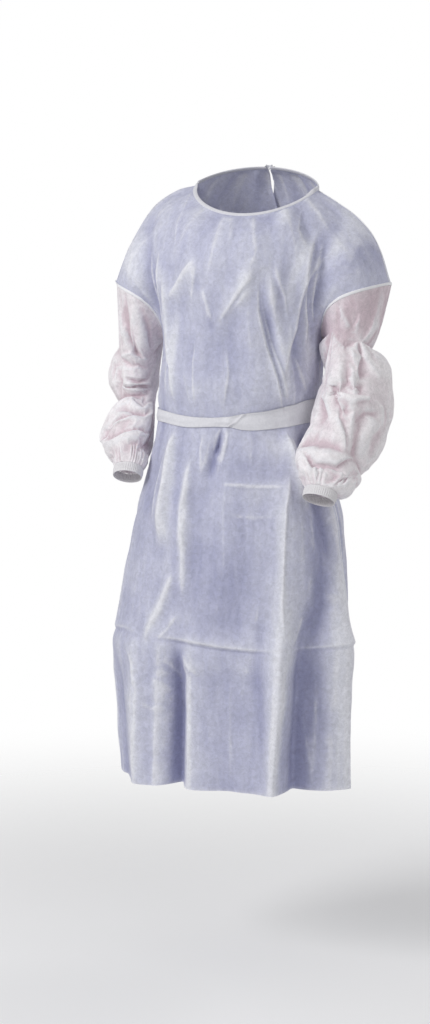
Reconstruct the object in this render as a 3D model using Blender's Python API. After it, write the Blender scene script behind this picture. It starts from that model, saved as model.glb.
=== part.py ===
"""A disposable cover gown with long sleeves and elastic cuffs, filled out as it is worn.

+Z is up and the wearer faces -Y, so +X is the wearer's left. The origin is midway between the two
high shoulder points, where the neck edge crosses the shoulder seams. Sizes are in metres.

The body is one surface, read at an angle round the body and a share of the way up it. An angle of 0
degrees is the centre front, 90 is the wearer's left side and 180 is the centre back. The front and the
two backs are cut from that surface, the sleeves start on its armholes, and the tapes lie on it.
"""

import math

import bpy
import numpy as np

# Driving sizes
HEM_Z = -1.047
UNDERARM_Z = -0.265
WAIST_Z = -0.400  # the middle of the waist tie
WAIST_LOW_Z = -0.455  # the rows are closer together between these two heights
WAIST_HIGH_Z = -0.345
CLOTH_WALL = 0.0014
TAPE_WALL = 0.0012
SEAM_GAP = 0.0003
ARMHOLE_GAP = 0.0004  # added at the armholes, where the cloth folds sharply under the arm
CLEARANCE = 0.0009  # between a tape and the cloth below it
BACK_OVERLAP = 0.090
BACK_EDGES_APART = 0.005  # at the neck, where the backs don't overlap
BACK_LIFT = 0.0042  # how far the left back stands off the right back that it covers
NECK_SHARE = 0.5  # the share of a half front, from its centre, that ends on the neck edge
NECK_HALF_WIDTH = 0.112
NECK_FRONT = 0.1035
NECK_FRONT_DROP = -0.050
NECK_BACK = 0.069
NECK_BACK_RISE = 0.034
NECK_TILT = -0.047  # the wearer's left shoulder is held lower
BINDING_HEIGHT = 0.0075
BINDING_WALL = 0.0024
CUFF_HEIGHT = 0.017
CUFF_WALL = 0.0018
WAIST_KNOT_SIZE = (0.030, 0.016, 0.024)
WAIST_KNOT_DROP = -0.004
NECK_KNOT_SIZE = (0.015, 0.009, 0.010)
NECK_KNOT_REACH = 0.0060  # from the neck edge to the middle of the knot
NECK_END_Z = 0.041  # the ends of the neck tie start to stand off the lifted back below this

# How finely the cloth is cut up
HALF_COLUMNS = 16
LOW_ROWS = 12
WAIST_ROWS = 5
HIGH_ROWS = 3
CHEST_ROWS = 9
SLEEVE_ROWS = 21
TIE_ROWS = 2
TIE_END_ROWS = 12
KNOT_RINGS = 8
KNOT_POINTS = 12

MEAN_RADIUS = 0.185  # turns an angle round the body into a distance, where folds are measured
SLEEVE_RADIUS = 0.062  # the same for a sleeve
SLEEVE_LENGTH = 0.42


class Table:
    """Rows of named columns. The first column says where each row stands, and it rises."""

    def __init__(self, names, *rows):
        self.columns = {name: np.array([row[i] for row in rows], float) for i, name in enumerate(names)}
        self.places = self.columns[names[0]]

    def read(self, name, at):
        """One column on a smooth curve through its rows."""
        values = self.columns[name]
        slopes = np.gradient(values, self.places)
        low = np.clip(np.searchsorted(self.places, at) - 1, 0, len(self.places) - 2)
        span = self.places[low + 1] - self.places[low]
        u = np.clip((at - self.places[low]) / span, 0.0, 1.0)
        return (
            (1 + 2 * u) * (1 - u) ** 2 * values[low]
            + u * (1 - u) ** 2 * span * slopes[low]
            + u * u * (3 - 2 * u) * values[low + 1]
            - u * u * (1 - u) * span * slopes[low + 1]
        )

    def point(self, at):
        """The columns x, y and z together."""
        return np.stack([self.read(name, at) for name in "xyz"], -1)


# The skirt and waist, section by section from the hem up to the underarm
BODY = Table(
    ("z", "centre_x", "centre_y", "half_width", "front", "back", "squareness"),
    (-1.047, -0.036, -0.004, 0.208, 0.154, 0.160, 2.5),
    (-0.930, -0.038, -0.010, 0.211, 0.154, 0.160, 2.4),
    (-0.820, -0.038, -0.016, 0.214, 0.152, 0.158, 2.3),
    (-0.700, -0.032, -0.020, 0.202, 0.146, 0.155, 2.2),
    (-0.568, -0.027, -0.021, 0.181, 0.136, 0.148, 2.2),
    (-0.470, -0.027, -0.021, 0.153, 0.121, 0.132, 2.1),
    (-0.400, -0.028, -0.020, 0.142, 0.112, 0.119, 2.1),
    (-0.335, -0.023, -0.017, 0.143, 0.124, 0.128, 2.1),
    (-0.265, -0.018, -0.010, 0.144, 0.122, 0.130, 2.1),
)

# The shoulder seams, from the neck edge to the top of the armhole
SHOULDER_NAMES = ("share", "x", "y", "z")
SHOULDERS = {
    1: Table(
        SHOULDER_NAMES,
        (0.00, 0.112, 0.000, -0.005),
        (0.25, 0.149, -0.002, -0.027),
        (0.50, 0.188, -0.004, -0.055),
        (0.75, 0.220, -0.004, -0.096),
        (1.00, 0.242, 0.000, -0.166),
    ),
    -1: Table(
        SHOULDER_NAMES,
        (0.00, -0.112, 0.000, 0.005),
        (0.25, -0.150, -0.001, -0.005),
        (0.50, -0.193, -0.003, -0.035),
        (0.75, -0.229, -0.003, -0.091),
        (1.00, -0.257, 0.002, -0.164),
    ),
}
ARMHOLE_FRONT = 0.070
ARMHOLE_BACK = 0.076
ARMHOLE_RISE = 0.040  # how far the front and back of the armhole stand above its slope
CHEST_FULLNESS = 0.030
BACK_FULLNESS = 0.036
ROUNDNESS = 0.65  # how far the cloth over a shoulder goes from a roof to a round arch

# Folds of the body. Each is a straight ridge, or a trough where its height is negative, from one
# angle round the body and height to another, and it dies away at both ends. Its columns are
# from_angle, from_z, to_angle, to_z, height and half_width.
BODY_FOLDS = (
    # front of the skirt: the pressed upright edge and what lies beside it
    (54, -0.40, 45, -1.00, 0.012, 0.045),
    (47, -0.66, 32, -1.40, 0.021, 0.034),
    (60, -0.68, 46, -1.40, -0.036, 0.045),
    (80, -0.60, 75, -1.40, 0.026, 0.042),
    (106, -0.66, 104, -1.45, -0.020, 0.060),
    # front of the skirt: the folds at the wearer's right, which the hem shows
    (15, -0.78, 12, -1.40, -0.010, 0.050),
    (-19, -0.74, -32, -1.40, -0.044, 0.034),
    (-46, -0.76, -49, -1.35, 0.012, 0.028),
    (-68, -0.78, -68, -1.40, -0.014, 0.050),
    (-90, -0.70, -90, -1.45, 0.010, 0.040),
    # front of the skirt: upright folds from the waist tie
    (-41, -0.36, -38, -0.64, 0.012, 0.024),
    (-24, -0.46, -18, -0.72, 0.009, 0.020),
    (-24, -0.65, -43, -0.80, 0.006, 0.020),
    (7, -0.37, -7, -0.51, -0.008, 0.019),
    (57, -0.35, 62, -0.57, 0.010, 0.022),
    (73, -0.36, 75, -0.66, -0.014, 0.030),
    (72, -0.64, 60, -0.80, -0.006, 0.024),
    # pressed level creases across the skirt
    (-120, -0.80, 120, -0.80, 0.006, 0.050),
    (2, -0.515, 56, -0.520, 0.003, 0.030),
    # front of the chest: drag folds from the bust to the waist
    (-16, -0.110, -50, -0.200, 0.005, 0.030),
    (-6, -0.260, 24, -0.120, 0.005, 0.030),
    (30, -0.130, 60, -0.400, 0.010, 0.034),
    (-55, -0.120, -40, -0.400, 0.010, 0.034),
    # from the shoulders down to the front of the armpits
    (58, 0.020, 76, -0.300, -0.012, 0.046),
    (-64, 0.020, -73, -0.290, -0.012, 0.040),
    # the back
    (122, 0.000, 108, -0.33, -0.020, 0.032),
    (-122, 0.000, -108, -0.33, -0.020, 0.032),
    (146, -0.10, 132, -0.40, 0.009, 0.034),
    (-150, -0.12, -138, -0.40, 0.009, 0.034),
    (150, -0.36, 146, -1.45, 0.016, 0.045),
    (-152, -0.36, -148, -1.45, 0.014, 0.045),
    (128, -0.38, 126, -1.45, -0.016, 0.040),
    (-126, -0.38, -124, -1.45, -0.014, 0.040),
)

# The sleeves: the arm's line, how far each ring's outer side is turned up from square to it, in
# degrees, and how far the cloth stands from the line on four sides
ARM_NAMES = ("share", "x", "y", "z", "turned_up", "outer", "front", "inner", "back")
ARMS = {
    1: Table(
        ARM_NAMES,
        (0.00, 0.184, -0.002, -0.215, 40, 0.078, 0.070, 0.078, 0.076),
        (0.06, 0.184, -0.006, -0.237, 37, 0.062, 0.070, 0.056, 0.074),
        (0.12, 0.182, -0.012, -0.257, 30, 0.049, 0.064, 0.046, 0.068),
        (0.21, 0.174, -0.020, -0.281, 14, 0.034, 0.058, 0.042, 0.056),
        (0.29, 0.180, -0.024, -0.305, 2, 0.070, 0.064, 0.047, 0.064),
        (0.39, 0.184, -0.027, -0.334, -6, 0.075, 0.080, 0.050, 0.070),
        (0.50, 0.186, -0.034, -0.368, -8, 0.075, 0.092, 0.054, 0.074),
        (0.60, 0.187, -0.052, -0.397, -6, 0.070, 0.086, 0.058, 0.078),
        (0.69, 0.182, -0.079, -0.424, 0, 0.058, 0.066, 0.056, 0.068),
        (0.78, 0.170, -0.106, -0.451, 0, 0.050, 0.052, 0.056, 0.054),
        (0.86, 0.168, -0.125, -0.474, 0, 0.056, 0.054, 0.054, 0.058),
        (0.94, 0.167, -0.141, -0.499, 0, 0.052, 0.038, 0.042, 0.042),
        (1.00, 0.165, -0.150, -0.514, 0, 0.029, 0.025, 0.029, 0.025),
    ),
    -1: Table(
        ARM_NAMES,
        (0.00, -0.210, 0.000, -0.215, 45, 0.068, 0.070, 0.068, 0.076),
        (0.06, -0.216, 0.003, -0.234, 38, 0.061, 0.068, 0.053, 0.072),
        (0.12, -0.220, 0.006, -0.253, 29, 0.053, 0.064, 0.044, 0.066),
        (0.22, -0.226, 0.014, -0.282, 8, 0.041, 0.056, 0.042, 0.056),
        (0.31, -0.233, 0.020, -0.310, 0, 0.052, 0.058, 0.044, 0.060),
        (0.40, -0.238, 0.022, -0.334, 0, 0.055, 0.060, 0.046, 0.062),
        (0.50, -0.238, 0.018, -0.364, 0, 0.039, 0.056, 0.046, 0.058),
        (0.57, -0.236, 0.006, -0.386, 0, 0.024, 0.050, 0.042, 0.050),
        (0.67, -0.228, -0.024, -0.412, 0, 0.048, 0.056, 0.040, 0.054),
        (0.78, -0.216, -0.054, -0.438, 0, 0.052, 0.054, 0.036, 0.052),
        (0.86, -0.210, -0.076, -0.458, 0, 0.044, 0.046, 0.031, 0.044),
        (0.92, -0.205, -0.088, -0.472, 0, 0.033, 0.032, 0.030, 0.033),
        (1.00, -0.2035, -0.100, -0.490, 0, 0.026, 0.024, 0.026, 0.024),
    ),
}

# Folds of the sleeves, with the same columns but a share of the arm in place of a height. An angle of
# 0 is the outer side, 90 the front, 180 the inner side and 270 the back.
SLEEVE_FOLDS = {
    1: (
        (20, 0.02, 40, 0.30, 0.008, 0.024),
        (60, 0.26, 190, 0.34, -0.007, 0.018),
        (40, 0.40, 150, 0.46, -0.007, 0.018),
        (120, 0.52, 60, 0.66, -0.008, 0.018),
        (300, 0.46, 350, 0.60, -0.008, 0.020),
        (170, 0.79, 30, 0.80, -0.006, 0.014),
        (30, 0.60, 0, 0.76, 0.007, 0.018),
    ),
    -1: (
        (60, 0.02, 120, 0.22, -0.006, 0.018),
        (340, 0.24, 460, 0.28, -0.006, 0.016),
        (150, 0.40, 60, 0.42, -0.006, 0.014),
        (160, 0.50, 70, 0.49, -0.005, 0.014),
        (330, 0.56, 480, 0.58, -0.006, 0.016),
        (150, 0.72, 40, 0.75, -0.006, 0.014),
    ),
}
GATHER_DEPTH = 0.0030  # a ridge and a trough for every two points round a sleeve
GATHER_START = 0.90

# The waist tie: its middle height and its width at each angle round the body
WAIST_TIE = Table(
    ("angle", "z", "width"),
    (-180, -0.402, 0.030),
    (-110, -0.399, 0.024),
    (-56, -0.398, 0.021),
    (-30, -0.404, 0.020),
    (2, -0.403, 0.017),
    (13, -0.402, 0.020),
    (22, -0.402, 0.028),
    (45, -0.398, 0.034),
    (55, -0.394, 0.037),
    (80, -0.386, 0.041),
    (110, -0.387, 0.040),
    (180, -0.402, 0.030),
)

# The ends that hang from the knots: the angle and height at which each starts, its length and width,
# how far it drifts towards the wearer's left on its way down, its distance off the back, and how much
# farther off the back it starts, at its knot
TIE_ENDS = {
    "waist_tie_end_left": (176.8, -0.4195, 0.270, 0.026, 0.026, 0.0024, 0.006),
    "waist_tie_end_right": (185.2, -0.4195, 0.240, 0.024, -0.030, 0.0024, 0.006),
    "neck_tie_end_left": (178.2, 0.0312, 0.165, 0.010, 0.012, 0.0023, 0.0022),
    "neck_tie_end_right": (182.2, 0.0316, 0.145, 0.010, -0.014, 0.0023, 0.0026),
}

COLOURS = {
    "body_cloth": ((0.78, 0.81, 0.90, 1), 0.60),
    "sleeve_cloth": ((0.88, 0.85, 0.87, 1), 0.60),
    "tape": ((0.90, 0.90, 0.92, 1), 0.65),
    "cuff_knit": ((0.92, 0.92, 0.92, 1), 0.85),
}


def smooth_step(x):
    """0 below 0, 1 above 1, and a soft rise between."""
    x = np.clip(x, 0.0, 1.0)
    return x * x * (3 - 2 * x)


def unit(vectors):
    """The vectors at a length of 1."""
    return vectors / np.maximum(np.linalg.norm(vectors, axis=-1, keepdims=True), 1e-12)


def angle_apart(a, b):
    """The shorter turn from b to a, in degrees."""
    return (a - b + 180.0) % 360.0 - 180.0


def fold_height(folds, angle, along, radius, along_scale=1.0):
    """How far a set of folds moves the cloth out, at an angle round it and a place along it."""
    total = np.zeros(np.broadcast(angle, along).shape)
    for from_angle, from_place, to_angle, to_place, height, half_width in folds:
        turn = to_angle - from_angle
        across = math.radians(turn) * radius
        rise = (to_place - from_place) * along_scale
        length = math.hypot(across, rise)
        dx = np.radians(angle_apart(angle, from_angle + turn / 2)) * radius
        dz = (along - (from_place + to_place) / 2) * along_scale
        share = (dx * across + dz * rise) / length**2 + 0.5
        away = np.abs(dx * rise - dz * across) / length
        fade = smooth_step(4 * share) * smooth_step(4 * (1 - share))
        spread = np.sqrt((away / half_width) ** 2 + 0.02) - math.sqrt(0.02)
        total = total + height * fade * np.clip(1 - spread, 0.0, 1.0) ** 1.5
    return total


def body_section(angle, z):
    """A point of the body's plain outline below the underarm."""
    across, along = np.sin(np.radians(angle)), np.cos(np.radians(angle))
    depth = np.where(along > 0, BODY.read("front", z), BODY.read("back", z))
    power = BODY.read("squareness", z)
    reach = np.abs(across / BODY.read("half_width", z)) ** power + np.abs(along / depth) ** power
    radius = reach ** (-1 / power)
    x = BODY.read("centre_x", z) + radius * across
    y = BODY.read("centre_y", z) - radius * along
    return np.stack(np.broadcast_arrays(x, y, z), -1)


def top_edge(side, share):
    """The top of the front (side -1) or back (side 1): the neck edge, then a shoulder seam."""
    turn = np.radians(90 * np.clip(share / NECK_SHARE, -1, 1))
    depth, rise = (NECK_BACK, NECK_BACK_RISE) if side > 0 else (NECK_FRONT, NECK_FRONT_DROP)
    x = NECK_HALF_WIDTH * np.sin(turn)
    level = np.abs(np.cos(turn))
    edge = np.stack([x, side * depth * level, rise * level**1.3 + NECK_TILT * x], -1)
    out = (np.abs(share) - NECK_SHARE) / (1 - NECK_SHARE)
    for hand, seam in SHOULDERS.items():
        edge = np.where((share * hand > NECK_SHARE)[..., None], seam.point(out), edge)
    return edge


def armhole(hand, side, share):
    """The armhole seam of one hand, up its front or back, from the underarm to the shoulder seam."""
    top = SHOULDERS[hand].point(np.array(1.0))
    low = body_section(np.array(90.0 * hand), np.array(UNDERARM_Z))
    turn = math.pi * (1 - share)[..., None]
    depth = ARMHOLE_BACK if side > 0 else ARMHOLE_FRONT
    bow = np.array([0.0, side * depth, 0.0]) * np.sin(turn)
    rise = np.array([0.0, 0.0, ARMHOLE_RISE]) * np.sin(math.pi * share[..., None] ** 0.6) ** 2
    return (top + low) / 2 + (top - low) / 2 * np.cos(turn) + bow + rise


def body_surface(side, share, up):
    """The body's plain surface on the front (side -1) or back (side 1). share is -1 to 1 from one side
    seam to the other. up is 0 at the hem, 1 at the underarm and 2 at the top."""
    angle = side_angle(side, share)
    skirt = body_section(angle, HEM_Z + (UNDERARM_Z - HEM_Z) * np.clip(up, 0, 1))
    t = np.clip(up - 1, 0, 1)[..., None]
    top = top_edge(side, share)
    chest = skirt + (top - skirt) * t
    shares = np.concatenate([t, 1 - np.cos(t * math.pi / 2), np.sin(t * math.pi / 2)], -1)
    rounded = skirt + (top - skirt) * shares
    inner = 1 - np.abs(share)[..., None] ** 4
    chest = chest + ROUNDNESS * inner * (rounded - chest)
    fullness = BACK_FULLNESS if side > 0 else CHEST_FULLNESS
    chest[..., 1] += (side * fullness * np.sin(t * math.pi).clip(0) ** 1.2 * inner)[..., 0]
    for hand in (1, -1):
        seam = armhole(hand, side, t[..., 0])
        low, high = armhole(hand, side, np.array(0.0)), armhole(hand, side, np.array(1.0))
        weight = np.clip(share * hand, 0, 1)[..., None] ** 2.5
        chest = chest + weight * (seam - low - (high - low) * t)
    return np.where(t > 0, chest, skirt)


def side_angle(side, share):
    """The angle round the body at a share of the front (side -1) or back (side 1)."""
    return 90.0 * share if side < 0 else 180.0 - 90.0 * share


def body_folds(side, share, up, z):
    """How far the folds move the front or back out. They die away just below the top, and the waist
    tie presses them nearly flat."""
    height = fold_height(BODY_FOLDS, side_angle(side, share), z, MEAN_RADIUS)
    pressed = 1 - 0.85 * np.exp(-(((z - WAIST_Z) / 0.035) ** 4))
    return height * pressed * smooth_step((2 - up) / 0.3)


def grid_normals(grid, closed=False):
    """Outward normals of a grid. Its columns go round towards the wearer's left and its rows go up."""
    round_it = np.roll(grid, -1, axis=1) - np.roll(grid, 1, axis=1) if closed else np.gradient(grid, axis=1)
    return unit(np.cross(round_it, np.gradient(grid, axis=0)))


def place_key(point):
    """The same key for points that coincide on a seam."""
    return tuple(np.floor(point * 20000 + 0.137).astype(int))


def shared_normals(grids):
    """Normals of several grids, with one for all that meet at a point on a seam. It halves the angle
    between body and sleeve, and it is longer than 1 where they meet at a sharp fold."""
    normals = {name: grid_normals(grid, name.startswith("sleeve")) for name, grid in grids.items()}
    sums = {}
    for name, grid in grids.items():
        group = "sleeve" if name.startswith("sleeve") else "body"
        for point, normal in zip(grid.reshape(-1, 3), normals[name].reshape(-1, 3)):
            meeting = sums.setdefault(place_key(point), {})
            meeting[group] = meeting.get(group, 0) + normal
    found = {}
    for key, meeting in sums.items():
        total = sum(unit(part) for part in meeting.values()) / len(meeting)
        found[key] = unit(total) / max(np.linalg.norm(total), 0.45)
    for name, grid in grids.items():
        flat = np.array([found[place_key(point)] for point in grid.reshape(-1, 3)])
        normals[name] = flat.reshape(grid.shape)
    return normals


def back_overlap_share(up):
    """How far each back runs past the centre back, as a share of a half back."""
    width = (BACK_OVERLAP + BACK_EDGES_APART) * smooth_step((1.88 - up) / 0.88) - BACK_EDGES_APART
    return width / 2 / (math.pi / 2 * MEAN_RADIUS)


def back_lift(share, up):
    """How far the left back is lifted: fully over the overlap, less beyond it, and not at the neck."""
    covered = smooth_step((back_overlap_share(up) + 0.30 - share) / 0.22)
    return BACK_LIFT * covered * smooth_step((2 - up) / 0.11)


def row_heights():
    """The rows as shares of the way up: 0 is the hem, 1 the underarm and 2 the top."""
    parts = (
        np.linspace(HEM_Z, WAIST_LOW_Z, LOW_ROWS + 1)[:-1],
        np.linspace(WAIST_LOW_Z, WAIST_HIGH_Z, WAIST_ROWS + 1)[:-1],
        np.linspace(WAIST_HIGH_Z, UNDERARM_Z, HIGH_ROWS + 1),
    )
    low = (np.concatenate(parts) - HEM_Z) / (UNDERARM_Z - HEM_Z)
    return np.concatenate([low, 1 + np.linspace(0, 1, CHEST_ROWS + 1)[1:] ** 1.2])


def body_grids():
    """The front and the two backs as grids of points with their folds, and the grids' shares."""
    ups = row_heights()
    past = back_overlap_share(ups)[:, None]
    half = np.linspace(0, 1, HALF_COLUMNS + 1)
    left_back = np.where(half <= 0.5, 1 - half, 0.5 - (2 * half - 1) * (0.5 + past))
    front = np.linspace(-1, 1, 2 * HALF_COLUMNS + 1)
    shares = {
        "front": np.broadcast_to(front, (len(ups), len(front))),
        "back_left": left_back,
        "back_right": -left_back[:, ::-1],
    }
    grids = {}
    for name, share in shares.items():
        up = np.broadcast_to(ups[:, None], share.shape)
        grids[name] = body_surface(-1 if name == "front" else 1, share, up)
    normals = shared_normals(grids)
    for name, share in shares.items():
        side = -1 if name == "front" else 1
        out = body_folds(side, share, ups[:, None], grids[name][..., 2])
        if name == "back_left":
            out = out + back_lift(share, ups[:, None])
        grids[name] = grids[name] + normals[name] * out[..., None]
    return grids, shares


def armhole_ring(grids, hand):
    """The armhole's points from the shoulder seam down the front and up the back, and those halfway."""
    rows = LOW_ROWS + WAIST_ROWS + HIGH_ROWS + np.arange(CHEST_ROWS + 1)
    front = grids["front"][rows, -1 if hand > 0 else 0]
    back = grids["back_left"][rows, 0] if hand > 0 else grids["back_right"][rows, -1]
    ring = np.concatenate([front[::-1], back[1:-1]])
    halfway = (ring + np.roll(ring, -1, axis=0)) / 2
    return np.stack([ring, halfway], 1).reshape(-1, 3)


def even_armhole(normals, hand):
    """Evens out the normals round an armhole, alike for the body and the sleeve."""
    ring = armhole_ring(normals, hand)[::2]
    ring = (np.roll(ring, 1, axis=0) + 2 * ring + np.roll(ring, -1, axis=0)) / 4
    rows = LOW_ROWS + WAIST_ROWS + HIGH_ROWS + np.arange(CHEST_ROWS + 1)
    up_back = np.concatenate([ring[CHEST_ROWS:], ring[:1]])
    halves = np.stack([ring, (ring + np.roll(ring, -1, axis=0)) / 2], 1).reshape(-1, 3)
    if hand > 0:
        normals["front"][rows, -1] = ring[: CHEST_ROWS + 1][::-1]
        normals["back_left"][rows, 0] = up_back
        normals["sleeve_left"][0] = halves
    else:
        normals["front"][rows, 0] = ring[: CHEST_ROWS + 1][::-1]
        normals["back_right"][rows, -1] = up_back
        normals["sleeve_right"][0] = halves[::-1]


def sleeve_frames(hand, shares):
    """Centres along an arm, and the directions along it, to its outer side and to its front."""
    arm = ARMS[hand]
    centres = arm.point(shares)
    along = unit(arm.point(np.clip(shares + 0.02, 0, 1)) - arm.point(np.clip(shares - 0.02, 0, 1)))
    outer = unit(np.array([hand, 0.0, 0.0]) - along * (along[:, :1] * hand))
    front = np.cross(along, outer) * hand
    lean = np.radians(arm.read("turned_up", shares))[:, None]
    return centres, along, outer * np.cos(lean) - along * np.sin(lean), front


def sleeve_grid(hand, start):
    """A sleeve as rings of points, from its armhole down to the wrist."""
    arm = ARMS[hand]
    shares = np.linspace(0, 1, SLEEVE_ROWS + 1)[:, None]
    turn = np.linspace(0, 2 * math.pi, len(start), endpoint=False)[None, :]
    centres, _, outer, front = sleeve_frames(hand, shares[:, 0])
    across, ahead = np.cos(turn), np.sin(turn)
    width = np.where(across > 0, arm.read("outer", shares), arm.read("inner", shares))
    depth = np.where(ahead > 0, arm.read("front", shares), arm.read("back", shares))
    out = fold_height(SLEEVE_FOLDS[hand], np.degrees(turn), shares, SLEEVE_RADIUS, SLEEVE_LENGTH)
    gathered = smooth_step((shares - GATHER_START) / 0.04) * smooth_step((1.02 - shares) / 0.05)
    out = out + gathered * GATHER_DEPTH * np.cos(turn * len(start) / 2)
    rings = (
        centres[:, None]
        + outer[:, None] * (across * (width + out))[..., None]
        + front[:, None] * (ahead * (depth + out))[..., None]
    )
    blend = smooth_step(shares / 0.12)[..., None]
    rings = start * (1 - blend) + rings * blend
    return rings if hand > 0 else rings[:, ::-1]


def cuff_grid(hand, sleeve):
    """An elastic cuff as rings of points, going on from the sleeve's last ring."""
    arm = ARMS[hand]
    turn = np.linspace(0, 2 * math.pi, sleeve.shape[1], endpoint=False)
    centre, along, outer, front = (value[0] for value in sleeve_frames(hand, np.array([1.0])))
    sizes = arm.columns["outer"][-1], arm.columns["front"][-1]
    ring = outer * (np.cos(turn) * sizes[0])[:, None] + front * (np.sin(turn) * sizes[1])[:, None]
    ring = ring if hand > 0 else ring[::-1]
    steps = np.array([0.0, 0.5, 1.0])[:, None, None]
    return centre + ring * (1 - 0.03 * steps) + along * (2 * SEAM_GAP + CUFF_HEIGHT * steps)


def inset(grid, closed):
    """The grid with its outer rows and columns drawn in by half a seam gap."""
    grid = grid.copy()
    lines = [(grid[0], grid[1]), (grid[-1], grid[-2])]
    if not closed:
        lines += [(grid[:, 0], grid[:, 1]), (grid[:, -1], grid[:, -2])]
    steps = [unit(inner - edge) * SEAM_GAP / 2 for edge, inner in lines]
    for (edge, _), step in zip(lines, steps):
        edge += step
    return grid


def material(slot):
    """The material of a kind of cloth."""
    made = bpy.data.materials.get(slot) or bpy.data.materials.new(slot)
    made.use_nodes = True
    colour, roughness = COLOURS[slot]
    shader = made.node_tree.nodes["Principled BSDF"]
    shader.inputs["Base Color"].default_value = colour
    shader.inputs["Roughness"].default_value = roughness
    shader.inputs["Metallic"].default_value = 0.0
    return made


def add_object(name, points, faces, slot):
    """A named object from points and faces."""
    mesh = bpy.data.meshes.new(name)
    mesh.from_pydata([tuple(point) for point in points], [], faces)
    mesh.materials.append(material(slot))
    mesh.shade_smooth()
    mesh.set_sharp_from_angle(angle=math.radians(40))
    made = bpy.data.objects.new(name, mesh)
    bpy.context.scene.collection.objects.link(made)
    return made


def add_wall(name, grid, normals, slot, thickness=CLOTH_WALL, closed=False):
    """A closed wall on a grid: its points half a wall out and half a wall in, joined round the edges."""
    grid = inset(grid, closed)
    rows, columns = grid.shape[:2]
    layers = [grid + normals * thickness / 2, grid - normals * thickness / 2]
    points = np.concatenate([layer.reshape(-1, 3) for layer in layers])

    def index(row, column, layer):
        return layer * rows * columns + row * columns + column % columns

    def edge_face(row, column, next_row, next_column):
        return [
            index(row, column, 0),
            index(next_row, next_column, 0),
            index(next_row, next_column, 1),
            index(row, column, 1),
        ]

    faces = []
    for column in range(columns if closed else columns - 1):
        for row in range(rows - 1):
            corners = ((row, column), (row, column + 1), (row + 1, column + 1), (row + 1, column))
            faces.append([index(*corner, 0) for corner in corners])
            faces.append([index(*corner, 1) for corner in reversed(corners)])
        faces.append(edge_face(0, column + 1, 0, column))
        faces.append(edge_face(rows - 1, column, rows - 1, column + 1))
    if not closed:
        for row in range(rows - 1):
            faces.append(edge_face(row, 0, row + 1, 0))
            faces.append(edge_face(row + 1, columns - 1, row, columns - 1))
    return add_object(name, points, faces, slot)


def add_binding(grids, normals):
    """The neck binding: a tape that goes on from the neck edge, from one side of the centre back round
    the front to the other."""
    half = HALF_COLUMNS // 2
    spans = {
        "back_right": slice(0, half),
        "front": slice(half, 3 * half + 1),
        "back_left": slice(half + 1, None),
    }
    edge = np.concatenate([grids[name][-1][span] for name, span in spans.items()])
    out = unit(np.concatenate([normals[name][-1][span] for name, span in spans.items()]))
    inward = unit(np.cross(out, np.gradient(edge, axis=0)))
    grid = np.stack([edge + inward * 2 * SEAM_GAP, edge + inward * BINDING_HEIGHT])
    return add_wall("neck_binding", grid, np.stack([out, out]), "tape", BINDING_WALL)


def panel_point(grid, row, column):
    """A point of a panel between its rows and columns."""
    rows, columns = grid.shape[:2]
    row, column = min(max(row, 0), rows - 1.001), min(max(column, 0), columns - 1.001)
    r, c = int(row), int(column)
    u, v = row - r, column - c
    low = grid[r, c] * (1 - v) + grid[r, c + 1] * v
    high = grid[r + 1, c] * (1 - v) + grid[r + 1, c + 1] * v
    return low * (1 - u) + high * u


def row_of(z):
    """The row, in parts of a row, that stands at a height below the underarm."""
    heights = HEM_Z + (UNDERARM_Z - HEM_Z) * row_heights()[: LOW_ROWS + WAIST_ROWS + HIGH_ROWS + 1]
    return float(np.interp(z, heights, np.arange(len(heights))))


def tie_columns(name, share):
    """The columns of a panel that the waist tie is laid on, in parts of a column. It starts and ends at
    the centre back, and the columns of a side seam are counted once."""
    last = len(share) - 1.0
    middle = float(np.interp(0.0, -share, np.arange(last + 1)))
    if name == "back_right":
        return [middle - 0.25] + list(np.arange(math.ceil(middle), last + 1))
    if name == "back_left":
        return list(np.arange(1.0, math.floor(middle) + 1)) + [middle + 0.25]
    return list(np.arange(1.0, last + 1))


def add_waist_tie(grids, shares, normals):
    """The waist tie: a strip laid on the panels from the centre back right round to the centre back."""
    waist_row = int(row_of(WAIST_Z))
    covered = back_overlap_share(row_heights()[waist_row]) + 0.30
    points, out = [], []
    for name in ("back_right", "front", "back_left"):
        for column in tie_columns(name, shares[name][waist_row]):
            share = float(np.interp(column, np.arange(shares[name].shape[1]), shares[name][waist_row]))
            angle = angle_apart(side_angle(-1 if name == "front" else 1, share), 0.0)
            middle, width = WAIST_TIE.read("z", angle), WAIST_TIE.read("width", angle)
            rows = [row_of(middle + width * step) for step in np.linspace(-0.5, 0.5, TIE_ROWS + 1)]
            lift = CLOTH_WALL / 2 + CLEARANCE + TAPE_WALL / 2
            if name == "back_right":
                lift += BACK_LIFT * smooth_step((share + covered) / 0.22)
            aim = unit(np.array([panel_point(normals[name], row, column) for row in rows]))
            points.append(np.array([panel_point(grids[name], row, column) for row in rows]) + aim * lift)
            out.append(aim)
    grid, out = np.array(points).transpose(1, 0, 2), np.array(out).transpose(1, 0, 2)
    add_wall("waist_tie", grid, out, "tape", TAPE_WALL)
    return grid


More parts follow.
